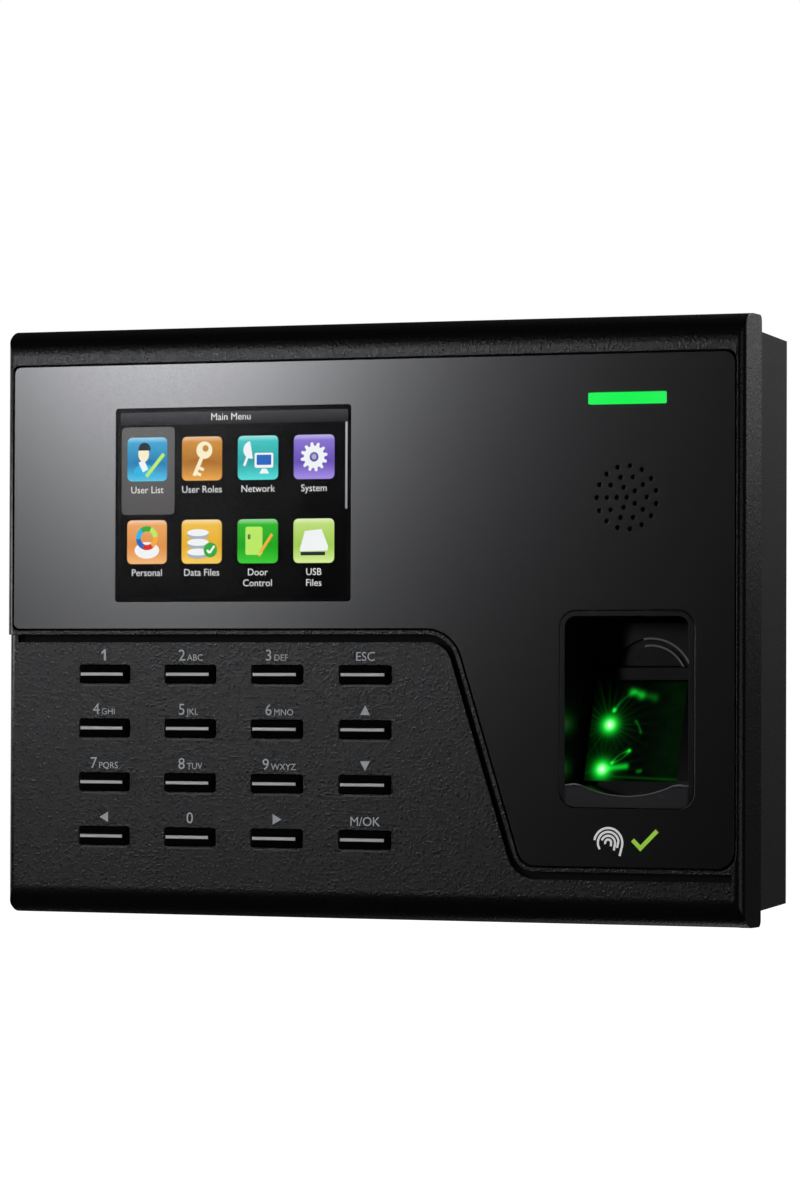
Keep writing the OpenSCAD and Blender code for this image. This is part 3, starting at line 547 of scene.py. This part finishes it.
def screen_body():
    """The screen lens in two pieces: a black backing, and a clear window over the picture."""
    w, h = SCREEN_HIGH.x - SCREEN_LOW.x, SCREEN_HIGH.z - SCREEN_LOW.z
    outline = rounded(0, 0, w, h, 0.7 * MM)
    front = picture_plane(0)
    backing = Layer("screen_backing", front, SCREEN_HIGH.y - front, (SCREEN_X, SCREEN_Z))
    backing.shape(outline)
    ink = Look("screen_border_ink", Roughness=0.6, Specular_IOR_Level=0.0)
    ink.set(Base_Color=ink.mix(ink.noise(2 * MM), (0.001, 0.001, 0.001), (0.003, 0.003, 0.003)))
    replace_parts(backing.done(ink, "lens_plastic"), "screen_lens")
    window = Layer("screen_window", FACE, WINDOW_T, (SCREEN_X, SCREEN_Z))
    window.shape(outline)
    clear = Look("window_clear", Specular_IOR_Level=0.5)
    smear = clear.noise(9 * MM, 3.0)
    clear.set(Base_Color=clear.mix(smear, (0.0, 0.0, 0.0), (0.004, 0.004, 0.004)),
              Roughness=clear.spread(smear, 0.3, 0.7, 0.08, 0.14),
              Alpha=clear.spread(smear, 0.3, 0.7, 0.02, 0.035))
    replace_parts(window.done(clear, "display_glass", bevel=0.06 * MM), "screen_lens")


def picture_ground():
    """The black of the lit picture, its title bar, the chosen tile's frame and the scroll bar."""
    ground = Layer("picture_ground", picture_plane(1), SHEET, (SCREEN_X, SCREEN_Z))
    ground.shape(rounded(0, 0, PICTURE_W, PICTURE_H, 0.3 * MM))
    black = glow("picture_black", (0.0, 0.0, 0.0), (0.0006, 0.0006, 0.0007), PICTURE_H)
    ground.done(black, "display_glass")
    title_h = 2.9 * MM
    title = Layer("picture_title_bar", picture_plane(2), SHEET, (SCREEN_X, PICTURE_TOP - title_h / 2))
    title.shape(rounded(0, 0, PICTURE_W, title_h, 0.3 * MM))
    title.done(glow("title_grey", (0.012, 0.012, 0.014), (0.06, 0.06, 0.066), title_h), "display_glass")
    w, h = 13.6 * MM, 20.4 * MM
    chosen = Layer("picture_highlight", picture_plane(2), SHEET,
                   (PICTURE_LEFT + 0.3 * MM + w / 2, PICTURE_TOP - 3.4 * MM - h / 2))
    chosen.shape(rounded(0, 0, w, h, 1.0 * MM))
    chosen.done(glow("highlight_grey", (0.09, 0.085, 0.085), (0.13, 0.13, 0.13), h), "display_glass")
    rail_h = 20 * MM
    rail = Layer("picture_scroll_bar", picture_plane(2), SHEET,
                 (SCREEN_X + PICTURE_W / 2 - 0.35 * MM, PICTURE_TOP - title_h - rail_h / 2))
    rail.shape(rounded(0, 0, 0.5 * MM, rail_h, 0.2 * MM))
    rail.done(glow("scroll_grey", (0.3, 0.3, 0.32), (0.5, 0.5, 0.52), rail_h), "display_glass")


# The deep and the bright colour of each tile.
TILE_TONES = {
    "users": ((0.006, 0.16, 0.42), (0.10, 0.58, 0.85)),
    "roles": ((0.36, 0.13, 0.012), (0.88, 0.42, 0.08)),
    "network": ((0.012, 0.33, 0.34), (0.10, 0.78, 0.74)),
    "system": ((0.10, 0.05, 0.42), (0.40, 0.30, 0.85)),
    "display": ((0.75, 0.26, 0.05), (0.95, 0.50, 0.20)),
    "records": ((0.80, 0.40, 0.01), (0.98, 0.66, 0.12)),
    "doors": ((0.008, 0.34, 0.008), (0.05, 0.62, 0.04)),
    "storage": ((0.32, 0.58, 0.05), (0.72, 0.90, 0.34))}


def tile_places():
    """The middle of each tile, in two rows of four."""
    return {name: (PICTURE_LEFT + TILE_COLUMNS[i % 4], PICTURE_TOP - TILE_ROWS[i // 4])
            for i, name in enumerate(TILE_TONES)}


def tiles():
    for name, place in tile_places().items():
        tile = Layer("tile_" + name, picture_plane(3), SHEET, place)
        tile.shape(rounded(0, 0, TILE, TILE, 1.2 * MM))
        tile.done(tile_glow("tile_" + name, *TILE_TONES[name], TILE / 2), "display_glass")


class Pictures:
    """One layer per colour, drawn at the tiles in tenths of a tile."""

    COLOURS = {"white": (0.93, 0.95, 0.96), "grey": (0.42, 0.47, 0.52), "dark": (0.02, 0.03, 0.04),
               "cream": (0.98, 0.90, 0.62), "lime": (0.52, 0.86, 0.14), "blue": (0.02, 0.14, 0.55),
               "red": (0.72, 0.03, 0.02), "green": (0.03, 0.42, 0.05), "orange": (0.95, 0.42, 0.05),
               "azure": (0.02, 0.48, 0.80)}
    LEVELS = {"azure": 4, "grey": 4, "white": 5, "cream": 5}
    TOP_LEVEL = 6

    def __init__(self):
        self.layers = {}
        self.places = tile_places()

    def draw(self, tile, colour, *outlines):
        if colour not in self.layers:
            level = self.LEVELS.get(colour, self.TOP_LEVEL)
            self.layers[colour] = Layer("pictures_" + colour, picture_plane(level), SHEET)
        x, z = self.places[tile]
        placed = [[(x + TENTH * p[0], z + TENTH * p[1]) for p in points] for points in outlines]
        self.layers[colour].shape(*placed)

    def done(self):
        for colour, layer in self.layers.items():
            tone = self.COLOURS[colour]
            low = tuple(0.8 * c for c in tone)
            layer.done(glow("picture_" + colour, low, tone, 12 * MM), "display_glass")


def gear_outline(teeth, outer, inner):
    points = []
    for i in range(teeth):
        for share, radius in ((0.0, inner), (0.18, outer), (0.5, outer), (0.68, inner)):
            angle = 2 * math.pi * (i + share) / teeth
            points.append((radius * math.cos(angle), radius * math.sin(angle)))
    return points


def pictograms():
    """A small picture on each tile, built up from plain shapes."""
    p = Pictures()
    p.draw("users", "cream", oval(-0.9, 1.3, 1.35, 1.9))
    p.draw("users", "dark", arc_points((-0.7, 2.3), 1.55, -10, 190, 12))
    p.draw("users", "azure", [(-3.6, -3.9), (-3.2, -2.2), (-2.1, -1.3), (0.6, -1.3), (1.4, -2.0),
                              (1.9, -3.9)])
    p.draw("users", "white", bar((-1.5, -0.4), (-0.4, -2.6), 1.5))
    p.draw("users", "lime", bar((-0.2, -3.9), (4.2, 1.2), 0.85))
    p.draw("roles", "cream", disc(0.6, 1.9, 2.0), disc(0.9, 2.3, 0.75))
    p.draw("roles", "cream", bar((0.0, 0.3), (-1.9, -3.9), 0.9))
    p.draw("roles", "cream", bar((-0.9, -2.0), (0.5, -2.6), 0.7))
    p.draw("roles", "cream", bar((-1.5, -3.2), (-0.2, -3.8), 0.7))
    p.draw("network", "white", rounded(1.5, -0.6, 4.6, 3.4, 0.4))
    p.draw("network", "blue", rounded(1.5, -0.5, 3.6, 2.3, 0.2))
    p.draw("network", "white", [(0.4, -3.6), (2.8, -3.6), (2.1, -2.5), (1.0, -2.5)])
    p.draw("network", "white", arc_points((-1.6, 1.8), 2.0, 100, 280, 14))
    p.draw("network", "white", bar((-2.6, 0.2), (-3.4, -1.8), 0.6))
    p.draw("system", "white", gear_outline(12, 3.3, 2.5), disc(0, 0, 1.1))
    p.draw("system", "grey", disc(0, 0, 0.6))
    p.draw("display", "white", oval(0, -1.9, 3.1, 1.9))
    for i, colour in enumerate(("green", "azure", "blue", "red", "orange", "lime")):
        p.draw("display", colour, band((0, 0.9), 2.15, 1.2, 60 * i + 65, 60 * i + 126, 8))
    for rise in (-2.6, -0.4, 1.8):
        p.draw("records", "grey", oval(-0.9, rise - 0.35, 2.7, 0.95))
        p.draw("records", "white", oval(-0.9, rise + 0.25, 2.7, 0.8))
    p.draw("records", "green", disc(2.2, -1.9, 1.7))
    p.draw("doors", "lime", rounded(-0.9, 0.1, 4.2, 6.4, 0.5))
    p.draw("doors", "dark", rounded(-2.1, 1.0, 0.7, 1.1, 0.2))
    p.draw("doors", "orange", bar((0.2, -3.3), (3.6, 1.6), 0.7))
    p.draw("storage", "white", [(-3.4, -1.8), (-2.2, 2.2), (1.9, 2.6), (3.5, -1.2), (3.4, -2.2),
                                (-3.3, -2.4)])
    p.draw("storage", "dark", rounded(-0.2, -2.9, 6.0, 0.8, 0.2))
    p.draw("storage", "grey", bar((-1.5, 0.9), (2.4, -0.5), 0.55))
    p.done()
    tick = Layer("picture_tick", picture_plane(7), SHEET)
    x, z = tile_places()["records"]
    for a, b in (((1.4, -1.9), (2.0, -2.6)), ((2.0, -2.6), (3.2, -1.0))):
        tick.shape([(x + TENTH * q[0], z + TENTH * q[1]) for q in bar(a, b, 0.5)])
    tick.done(glow("tick_white", (0.8, 0.85, 0.8), (0.95, 1.0, 0.95), 10 * MM), "display_glass")


def labels():
    """The menu's title and the words under the tiles."""
    layer = Layer("picture_labels", picture_plane(4), SHEET)
    size, drop, line_step = 2.3 * MM, 7.9 * MM, 2.5 * MM
    words = {"users": "User List", "roles": "User Roles", "network": "Network", "system": "System",
             "display": "Personal", "records": "Data Files", "doors": "Door\nControl",
             "storage": "USB\nFiles"}
    for name, (x, z) in tile_places().items():
        for i, line in enumerate(words[name].split("\n")):
            layer.words(line, x, z - drop - i * line_step, size)
    layer.words("Main Menu", SCREEN_X - 0.6 * MM, PICTURE_TOP - 2.0 * MM, size)
    layer.done(glow("label_white", (0.72, 0.72, 0.72), (0.85, 0.85, 0.85), 40 * MM), "display_glass")


# ---- Right-hand column ----

PRISM_LOW, PRISM_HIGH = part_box("sensor_prism")
COLUMN_X = sum(corner.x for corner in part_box("finger_guide")) / 2
PRISM_FAR = FACE + 17 * MM


def light_bar():
    """The status light, lit green."""
    look = Look("light_bar_green", Emission_Strength=1.0, Roughness=0.5, Specular_IOR_Level=0.1)
    x = look.axes()[0]
    low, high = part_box("light_pipe")
    along = look.spread((x - (low.x + high.x) / 2).math("ABSOLUTE"), 0.0, (high.x - low.x) / 2)
    tone = along * 0.6 + look.noise(4 * MM, 2.0) * 0.4
    look.set(Base_Color=look.mix(tone, (0.002, 0.12, 0.02), (0.004, 0.16, 0.03)),
             Emission_Color=look.mix(tone, (0.002, 0.86, 0.07), (0.02, 0.82, 0.10)))
    finish_node("light_pipe", look)


# The mouth of the reader's recess, and the scooped lip at its foot.
WELL_HALF = 14.6 * MM
LIP_Z = PRISM_LOW.z - 0.9 * MM
LIP_HALF = 11.5 * MM
LIP_R = 26 * MM
LIP_DROP = 2.4 * MM
LIP_TURN = math.degrees(math.asin(LIP_HALF / LIP_R)) - 1.0

# Where the two green lamps show in the glass, in X and Z.
LAMPS = [(PRISM_LOW.x + 4.6 * MM, -23.6 * MM), (PRISM_LOW.x + 4.0 * MM, -33.6 * MM)]

# Streaks of light by each lamp: start and end in millimetres from it, width, bow and strength.
GLINTS = [
    [((0.6, 3.2), (0.7, 3.4), 0.38, 0.0, 0.9), ((0.9, 3.6), (5.2, 7.6), 0.45, 0.9, 0.16),
     ((4.6, 7.4), (6.8, 6.8), 0.75, 0.3, 0.34), ((6.6, 6.6), (10.0, 6.2), 0.8, 0.4, 0.07),
     ((6.2, 0.8), (7.6, -1.6), 0.3, 0.3, 0.10)],
    [((2.2, 1.4), (6.0, 4.2), 0.36, 0.95, 0.50), ((2.2, 1.4), (6.0, 4.2), 0.36, -0.95, 0.42),
     ((0.6, 0.1), (5.6, 0.7), 0.55, 0.0, 0.45), ((8.6, -0.4), (9.2, -0.3), 0.35, 0.0, 0.12),
     ((2.0, -1.6), (18.0, -2.2), 0.25, 0.0, 0.03)]]


def glass_stroke(look, x, z, a, b, width, bow=0.0):
    """Soft streak of painted light between two points on the glass, in millimetres from a lamp.

    Bow shifts its middle sideways."""
    run = Vector((b[0] - a[0], b[1] - a[1]))
    squared = run.length_squared
    along = ((x - a[0]) * (run.x / squared) + (z - a[1]) * (run.y / squared)).clamped()
    side = (x - a[0]) * (-run.y / run.length) + (z - a[1]) * (run.x / run.length)
    side = side - along * (1 - along) * (4 * bow)
    past_x, past_z = x - (along * run.x + a[0]), z - (along * run.y + a[1])
    gap = side * side + (past_x * past_x + past_z * past_z - side * side).math("MAXIMUM", 0.0)
    return (gap * (-1.0 / width ** 2)).math("EXPONENT")


def prism_look():
    """Dark optical glass with painted light: the glow of two green lamps at its left, with their rays,
    streaks and a faint haze, painted as emission on the glass.
    """
    look = Look("prism_lit_green", Roughness=0.08, IOR=1.52, Emission_Strength=1.0)
    x, _, z = look.axes()
    smear = look.noise(4 * MM, 3.0)
    # A faint green haze towards the right: a painted reflection of the lamps.
    right = look.spread(x, PRISM_LOW.x + 9 * MM, PRISM_HIGH.x - 3 * MM)
    light = right * right * smear * 0.010
    core = 0.0
    # Each lamp's core, halo, rays and streaks are painted light on the glass.
    for i, (lamp_x, lamp_z) in enumerate(LAMPS):
        dx, dz = (x - lamp_x) / MM, (z - lamp_z) / MM
        distance = (dx * dx + dz * dz).math("SQRT")
        angle = look.node("ShaderNodeMath", {"operation": "ARCTAN2"}, {0: dz, 1: dx})
        uneven = look.node("ShaderNodeTexNoise", {"noise_dimensions": "1D"},
                           {"W": angle * 5.0 + 3.0 * i, "Scale": 1.6, "Detail": 3.0, "Roughness": 0.7})
        rays = (angle * 13.0 + uneven * 5.0).math("COSINE").math("ABSOLUTE").power(5.0)
        rays = rays * look.spread(uneven, 0.35, 0.65)
        light = light + (distance.power(2.0) * -0.42).math("EXPONENT") * 1.5
        light = light + (distance * -0.85).math("EXPONENT") * 0.28
        light = light + (distance * -0.40).math("EXPONENT") * rays * uneven * 0.22
        core = (distance.power(2.0) * -1.7).math("EXPONENT") + core
        for a, b, width, bow, strength in GLINTS[i]:
            light = light + glass_stroke(look, dx, dz, a, b, width, bow) * strength
    tone = look.mix(core.clamped(), (0.010, 1.0, 0.05), (0.78, 1.0, 0.82))
    lit = look.mix(light.clamped(), (0.0, 0.0, 0.0), tone)
    return look.set(Base_Color=look.mix(smear, (0.001, 0.003, 0.002), (0.002, 0.006, 0.003)),
                    Emission_Color=lit)


def bead(name, points, y, radius, look):
    """A thin bead along a line of points in X and Z; the reader's beads are bright and paint highlights
    along edges.
    """
    curve = bpy.data.curves.new(name, "CURVE")
    curve.dimensions = "3D"
    curve.bevel_depth = radius
    curve.bevel_resolution = 3
    line = curve.splines.new("POLY")
    line.points.add(len(points) - 1)
    for point, place in zip(line.points, points):
        point.co = (place[0], y, place[1], 1.0)
    curve.materials.append(look.material)
    piece = bpy.data.objects.new(name, curve)
    bpy.context.scene.collection.objects.link(piece)
    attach(piece, ROOT)


def reader():
    """The lit prism, the guide round it with a painted highlight on its lip, and beads that paint
    highlights along the edges of its lip and hood.
    """
    finish_node("sensor_prism", prism_look())
    guide = Look("guide_satin", Specular_IOR_Level=0.14)
    flow = guide.noise(20 * MM, 2.0)
    x, y, z = guide.axes()
    off_middle = (x - COLUMN_X).math("ABSOLUTE")
    # Painted highlight: the sloping lip at the foot of the well is painted lighter where it catches the
    # light.
    foot = guide.spread(z, LIP_Z - 0.6 * MM, LIP_Z + 0.2 * MM, 1.0, 0.0)
    foot = foot * guide.spread(y, FACE, FACE + 0.6 * MM, 1.0, 0.0)
    foot = foot * guide.spread(off_middle, WELL_HALF - 0.4 * MM, WELL_HALF + 0.2 * MM, 1.0, 0.0)
    plain = guide.mix(flow, (0.003, 0.003, 0.0035), (0.005, 0.005, 0.0055))
    guide.set(Base_Color=guide.mix(foot, plain, (0.030, 0.030, 0.033)),
              Roughness=guide.spread(flow, 0.3, 0.7, 0.24, 0.28),
              Normal=guide.bump(flow, 0.01 * MM, 0.3, 0.12 * MM))
    finish_node("finger_guide", guide)
    # A bright bead along the lip's edge: a painted highlight where the edge catches the light.
    edge = satin_plastic("lip_rim_highlight", (0.22, 0.22, 0.23), (0.27, 0.27, 0.28), 0.3)
    lip = [(COLUMN_X - WELL_HALF, LIP_Z), (COLUMN_X - LIP_HALF - 1.0 * MM, LIP_Z + 0.3 * MM)]
    lip += arc_points((COLUMN_X, LIP_Z - LIP_DROP + LIP_R), LIP_R, 270 - LIP_TURN, 270 + LIP_TURN, 28)
    lip += [(COLUMN_X + LIP_HALF + 1.0 * MM, LIP_Z + 0.3 * MM), (COLUMN_X + WELL_HALF, LIP_Z)]
    bead("lip_highlight", lip, FACE + 0.25 * MM, 0.2 * MM, edge)
    # Bright beads with a faint glow along the two hood arcs: painted highlights where the ridges catch the
    # light.
    hood_highlight = satin_plastic("hood_highlight", (0.50, 0.50, 0.52), (0.58, 0.58, 0.60), 0.3)
    hood_highlight.feed(hood_highlight.shader.inputs["Emission Strength"], 0.04)
    for name, radius in (("outer", 10.2 * MM), ("inner", 8.6 * MM)):
        hood = arc_points((COLUMN_X, PRISM_HIGH.z - 0.4 * MM), radius, 26, 100, 18)
        bead("hood_" + name, hood, PRISM_FAR - 0.05 * MM, 0.22 * MM, hood_highlight)


def finger_emblem():
    """A plain fingerprint sign with a tick beside it, under the reader."""
    x, z = COLUMN_X - 4.2 * MM, -49.9 * MM
    white = Layer("emblem_white", FACE - PRINT_RISE, PRINT_T, (x, z))
    green = Layer("emblem_green", FACE - PRINT_RISE, PRINT_T, (x, z))
    line = 0.5 * MM
    for i, (start, stop) in enumerate(((20, 200), (-15, 160), (10, 215), (-20, 170))):
        radius = (0.75 + 0.86 * i) * MM
        white.shape(band((0, 0), radius, line, start, stop, 14 + 4 * i))
        leg = (radius * math.cos(math.radians(start)), radius * math.sin(math.radians(start)))
        white.shape(bar(leg, (leg[0] * 0.86, leg[1] - (1.0 + 0.25 * i) * MM), line))
    tick = [(5.4, 0.4), (6.1, 1.1), (7.6, -0.4), (11.2, 3.2), (11.9, 2.5), (7.6, -1.8)]
    green.shape([(q[0] * MM, q[1] * MM) for q in tick])
    # Both paints are real print and also glow a little: painted light that makes the sign brighter than
    # the lamps make it.
    paint = Look("emblem_white_paint", Roughness=0.5, Emission_Strength=0.28)
    paint.set(Base_Color=paint.mix(paint.noise(0.3 * MM), (0.86, 0.86, 0.86), (0.95, 0.95, 0.95)),
              Emission_Color=paint.mix(paint.noise(0.3 * MM), (0.9, 0.9, 0.9), (1.0, 1.0, 1.0)))
    white.done(paint, "panel_plastic")
    lime = Look("emblem_green_paint", Roughness=0.5, Emission_Strength=0.35)
    lime.set(Base_Color=lime.mix(lime.noise(0.3 * MM), (0.30, 0.62, 0.03), (0.42, 0.78, 0.05)),
             Emission_Color=lime.mix(lime.noise(0.3 * MM), (0.30, 0.62, 0.03), (0.42, 0.78, 0.05)))
    green.done(lime, "panel_plastic")


# ---- Back, sockets and inside ----

def dress_back():
    """Finishes of what is behind the panel, inside the case and on the wall."""
    plate = sheet_metal("plate_zinc", (0.34, 0.35, 0.36), (0.52, 0.53, 0.54), 0.38)
    bright = sheet_metal("bright_steel", (0.5, 0.51, 0.52), (0.66, 0.67, 0.68), 0.26, (1.0, 1.0, 12.0))
    screws = sheet_metal("screw_zinc", (0.45, 0.46, 0.47), (0.62, 0.62, 0.63), 0.3, (1.0, 1.0, 1.0))
    black = moulded("inner_black", (0.010, 0.010, 0.010), (0.018, 0.018, 0.018), 0.45)
    green = moulded("terminal_green", (0.02, 0.20, 0.06), (0.03, 0.27, 0.09))
    white = moulded("switch_white", (0.62, 0.62, 0.60), (0.72, 0.72, 0.70))
    amber = moulded("film_amber", (0.42, 0.20, 0.04), (0.55, 0.30, 0.08), 0.3)
    rubber = moulded("mat_silicone", (0.28, 0.29, 0.30), (0.36, 0.37, 0.38), 0.7)
    foam = moulded("foam_black", (0.006, 0.006, 0.006), (0.012, 0.012, 0.012), 0.9)
    blue = moulded("relay_blue", (0.02, 0.09, 0.36), (0.04, 0.14, 0.48), 0.3)
    red = moulded("wire_red", (0.40, 0.02, 0.015), (0.55, 0.04, 0.03), 0.45)
    resin = moulded("led_resin", (0.70, 0.90, 0.74), (0.80, 0.98, 0.84), 0.2)
    chip = moulded("chip_epoxy", (0.012, 0.012, 0.012), (0.024, 0.024, 0.024), 0.55)
    paper = moulded("diffuser_white", (0.78, 0.78, 0.75), (0.88, 0.88, 0.85), 0.6)
    cell = moulded("display_cell", (0.012, 0.013, 0.016), (0.02, 0.022, 0.026), 0.12)
    board = circuit_board("solder_mask")
    finishes = {
        plate: ["wall_plate"],
        bright: ["lcd_frame", "lcd_bracket", "ethernet_jack", "usb_socket", "coin_cell"],
        screws: ["case_screws", "board_screws", "lock_screw"],
        green: ["terminal_block"],
        black: ["sensor_housing", "sensor_camera", "speaker", "keypad_header", "coin_cell_holder",
                "power_jack", "reset_switch", "tamper_switch"],
        white: ["reset_button", "tamper_plunger"],
        amber: ["lcd_flex", "sensor_ribbon"],
        rubber: ["keypad_mat"],
        foam: ["lcd_gasket", "speaker_gasket"],
        blue: ["relay"],
        red: ["speaker_lead"],
        resin: ["sensor_leds", "status_leds"],
        chip: ["processor", "memory_chips"],
        paper: ["lcd_backlight"],
        cell: ["lcd_glass"],
        board: ["sensor_board", "light_board", "keypad_board", "main_board"]}
    for look, names in finishes.items():
        for name in names:
            finish_node(name, look)


def socket_contacts():
    """Gold contacts inside the network and USB sockets."""
    gold = sheet_metal("contact_gold", (0.62, 0.42, 0.12), (0.80, 0.58, 0.20), 0.25)
    low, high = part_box("ethernet_jack")
    middle = (low.x + high.x) / 2
    pins = Layer("network_contacts", high.y - 10.15 * MM, 0.25 * MM, (middle, low.z + 5 * MM))
    for i in range(8):
        pins.shape(rounded((i - 3.5) * 1.02 * MM, 0.0, 0.5 * MM, 7 * MM, 0.1 * MM))
    pins.done(gold, "sheet_metal")
    low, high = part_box("usb_socket")
    middle = (low.x + high.x) / 2
    pads = Layer("usb_contacts", high.y - 3.28 * MM, 0.12 * MM, (middle, low.z + 6 * MM))
    for i in range(4):
        pads.shape(rounded((i - 1.5) * 2.4 * MM, 0.0, 1.0 * MM, 7 * MM, 0.1 * MM))
    pads.done(gold, "sheet_metal")


# ---- Room, lights and camera ----

# The glowing card's place and power, its width, and where it fades downwards and upwards.
CARD_AZIMUTH = -26.1
CARD_RISE = 6.0
CARD_DISTANCE = 1.6
CARD_POWER = 42.0
CARD_WIDE = 0.0515
CARD_FOOT = 0.06
CARD_HEAD = 0.16
CARD_FADE = 0.09


def toward(azimuth, elevation):
    """A direction out from the terminal. Azimuth 0 is in front of it and 90 is on its right."""
    a, e = math.radians(azimuth), math.radians(elevation)
    return Vector((math.sin(a) * math.cos(e), -math.cos(a) * math.cos(e), math.sin(e)))


def look_at(holder, target):
    """Turns a lamp or a card to face a point."""
    forward = (Vector(target) - holder.location).normalized()
    holder.rotation_euler = forward.to_track_quat("-Z", "Y").to_euler()


def softbox(name, azimuth, elevation, distance, wide, high, energy):
    """A rectangular white lamp aimed at the terminal."""
    lamp = bpy.data.lights.new(name, "AREA")
    lamp.shape = "RECTANGLE"
    lamp.size = wide
    lamp.size_y = high
    lamp.energy = energy
    holder = bpy.data.objects.new(name, lamp)
    holder.location = toward(azimuth, elevation) * distance
    bpy.context.scene.collection.objects.link(holder)
    look_at(holder, (0.0, FACE / 2, 0.0))


def glowing_card():
    """A soft card up on the left. It shows in the satin panel and fades to the right and downwards."""
    bm = bmesh.new()
    bmesh.ops.create_grid(bm, x_segments=2, y_segments=2, size=0.5)
    mesh = bpy.data.meshes.new("glowing_card")
    bm.to_mesh(mesh)
    bm.free()
    card = bpy.data.objects.new("glowing_card", mesh)
    bpy.context.scene.collection.objects.link(card)
    card.location = toward(CARD_AZIMUTH, CARD_RISE) * CARD_DISTANCE
    look_at(card, (0.0, FACE, 0.0))
    cloth = Look("card_cloth", Emission_Strength=CARD_POWER, Roughness=0.9)
    x, y, _ = cloth.axes()
    across = (x / CARD_WIDE).power(2.0) * -0.5
    down = (y - CARD_FOOT).math("MINIMUM", 0.0) / CARD_FADE
    up = ((y - CARD_HEAD).math("MAXIMUM", 0.0) / CARD_WIDE).power(2.0) * -0.5
    rim = cloth.spread(x.math("ABSOLUTE"), 0.40, 0.5, 1.0, 0.0)
    rim = rim * cloth.spread(y.math("ABSOLUTE"), 0.40, 0.5, 1.0, 0.0)
    level = (across + down + up).math("EXPONENT") * rim
    cloth.set(Base_Color=cloth.mix(level, (0.01, 0.01, 0.01), (0.02, 0.02, 0.02)),
              Emission_Color=cloth.mix(level, (0.0, 0.0, 0.0), (0.95, 0.96, 1.0)))
    mesh.materials.append(cloth.material)
    card.visible_camera = False
    card.visible_diffuse = False


def lights():
    glowing_card()
    softbox("front_left_box", -60, 4, 1.5, 0.5, 0.5, 10)
    softbox("right_rim_box", 158, 14, 1.5, 0.35, 0.5, 0.7)
    softbox("front_right_box", 62, -12, 1.6, 1.0, 1.0, 3.5)
    softbox("back_left_box", -125, -8, 1.6, 1.0, 1.2, 6)
    softbox("back_box", 150, 46, 1.7, 1.2, 0.9, 30)
    softbox("top_front_box", -35, 28, 1.5, 0.5, 0.12, 0.2)
    softbox("low_box", 170, -50, 1.5, 1.2, 0.8, 3)


def room():
    """A pale floor far below the terminal, and a white surround."""
    world = bpy.data.worlds.new("studio")
    bpy.context.scene.world = world
    world.use_nodes = True
    tree = world.node_tree
    back = tree.nodes["Background"]
    dim = tree.nodes.new("ShaderNodeBackground")
    dim.inputs["Color"].default_value = (0.02, 0.02, 0.021, 1.0)
    back.inputs["Color"].default_value = (1.0, 1.0, 1.0, 1.0)
    path = tree.nodes.new("ShaderNodeLightPath")
    choose = tree.nodes.new("ShaderNodeMixShader")
    tree.links.new(path.outputs["Is Camera Ray"], choose.inputs[0])
    tree.links.new(dim.outputs[0], choose.inputs[1])
    tree.links.new(back.outputs[0], choose.inputs[2])
    tree.links.new(choose.outputs[0], tree.nodes["World Output"].inputs["Surface"])
    bm = bmesh.new()
    bmesh.ops.create_grid(bm, x_segments=8, y_segments=8, size=12.0)
    mesh = bpy.data.meshes.new("floor")
    bm.to_mesh(mesh)
    bm.free()
    floor = bpy.data.objects.new("floor", mesh)
    bpy.context.scene.collection.objects.link(floor)
    floor.location.z = -0.62
    pale = Look("floor_pale", Roughness=0.8, Emission_Strength=1.1)
    tone = pale.noise(0.4, 3.0)
    pale.set(Base_Color=pale.mix(tone, (0.86, 0.86, 0.86), (0.90, 0.90, 0.90)),
             Emission_Color=pale.mix(tone, (0.97, 0.97, 0.97), (1.0, 1.0, 1.0)))
    mesh.materials.append(pale.material)
    floor.visible_glossy = False
    floor.visible_diffuse = False
    floor.visible_transmission = False
    floor.visible_shadow = False


def camera():
    """Stands to the right of the terminal and a little below its middle."""
    distance, lens = 1.0973, 144.3
    yaw, pitch, roll = math.radians(22.08), math.radians(0.97), math.radians(0.19)
    aim = Vector((9.06 * MM, FACE, 4.68 * MM))
    level = math.cos(pitch)
    forward = Vector((-math.sin(yaw) * level, math.cos(yaw) * level, math.sin(pitch)))
    right = Vector((math.cos(yaw), math.sin(yaw), 0.0))
    up = right.cross(forward)
    tilted_right = math.cos(roll) * right + math.sin(roll) * up
    tilted_up = math.cos(roll) * up - math.sin(roll) * right
    data = bpy.data.cameras.new("camera")
    data.lens = lens
    data.sensor_width = 36.0
    data.clip_start = 0.01
    holder = bpy.data.objects.new("camera", data)
    turn = Matrix((tilted_right, tilted_up, -forward)).transposed().to_4x4()
    holder.matrix_world = Matrix.Translation(aim - forward * distance) @ turn
    bpy.context.scene.collection.objects.link(holder)
    bpy.context.scene.camera = holder


bpy.context.scene.view_settings.view_transform = "Standard"
dress_case()
dress_keys()
legends()
slot_sill_highlights()
screen_body()
picture_ground()
tiles()
pictograms()
labels()
light_bar()
reader()
finger_emblem()
dress_back()
socket_contacts()
lights()
room()
camera()
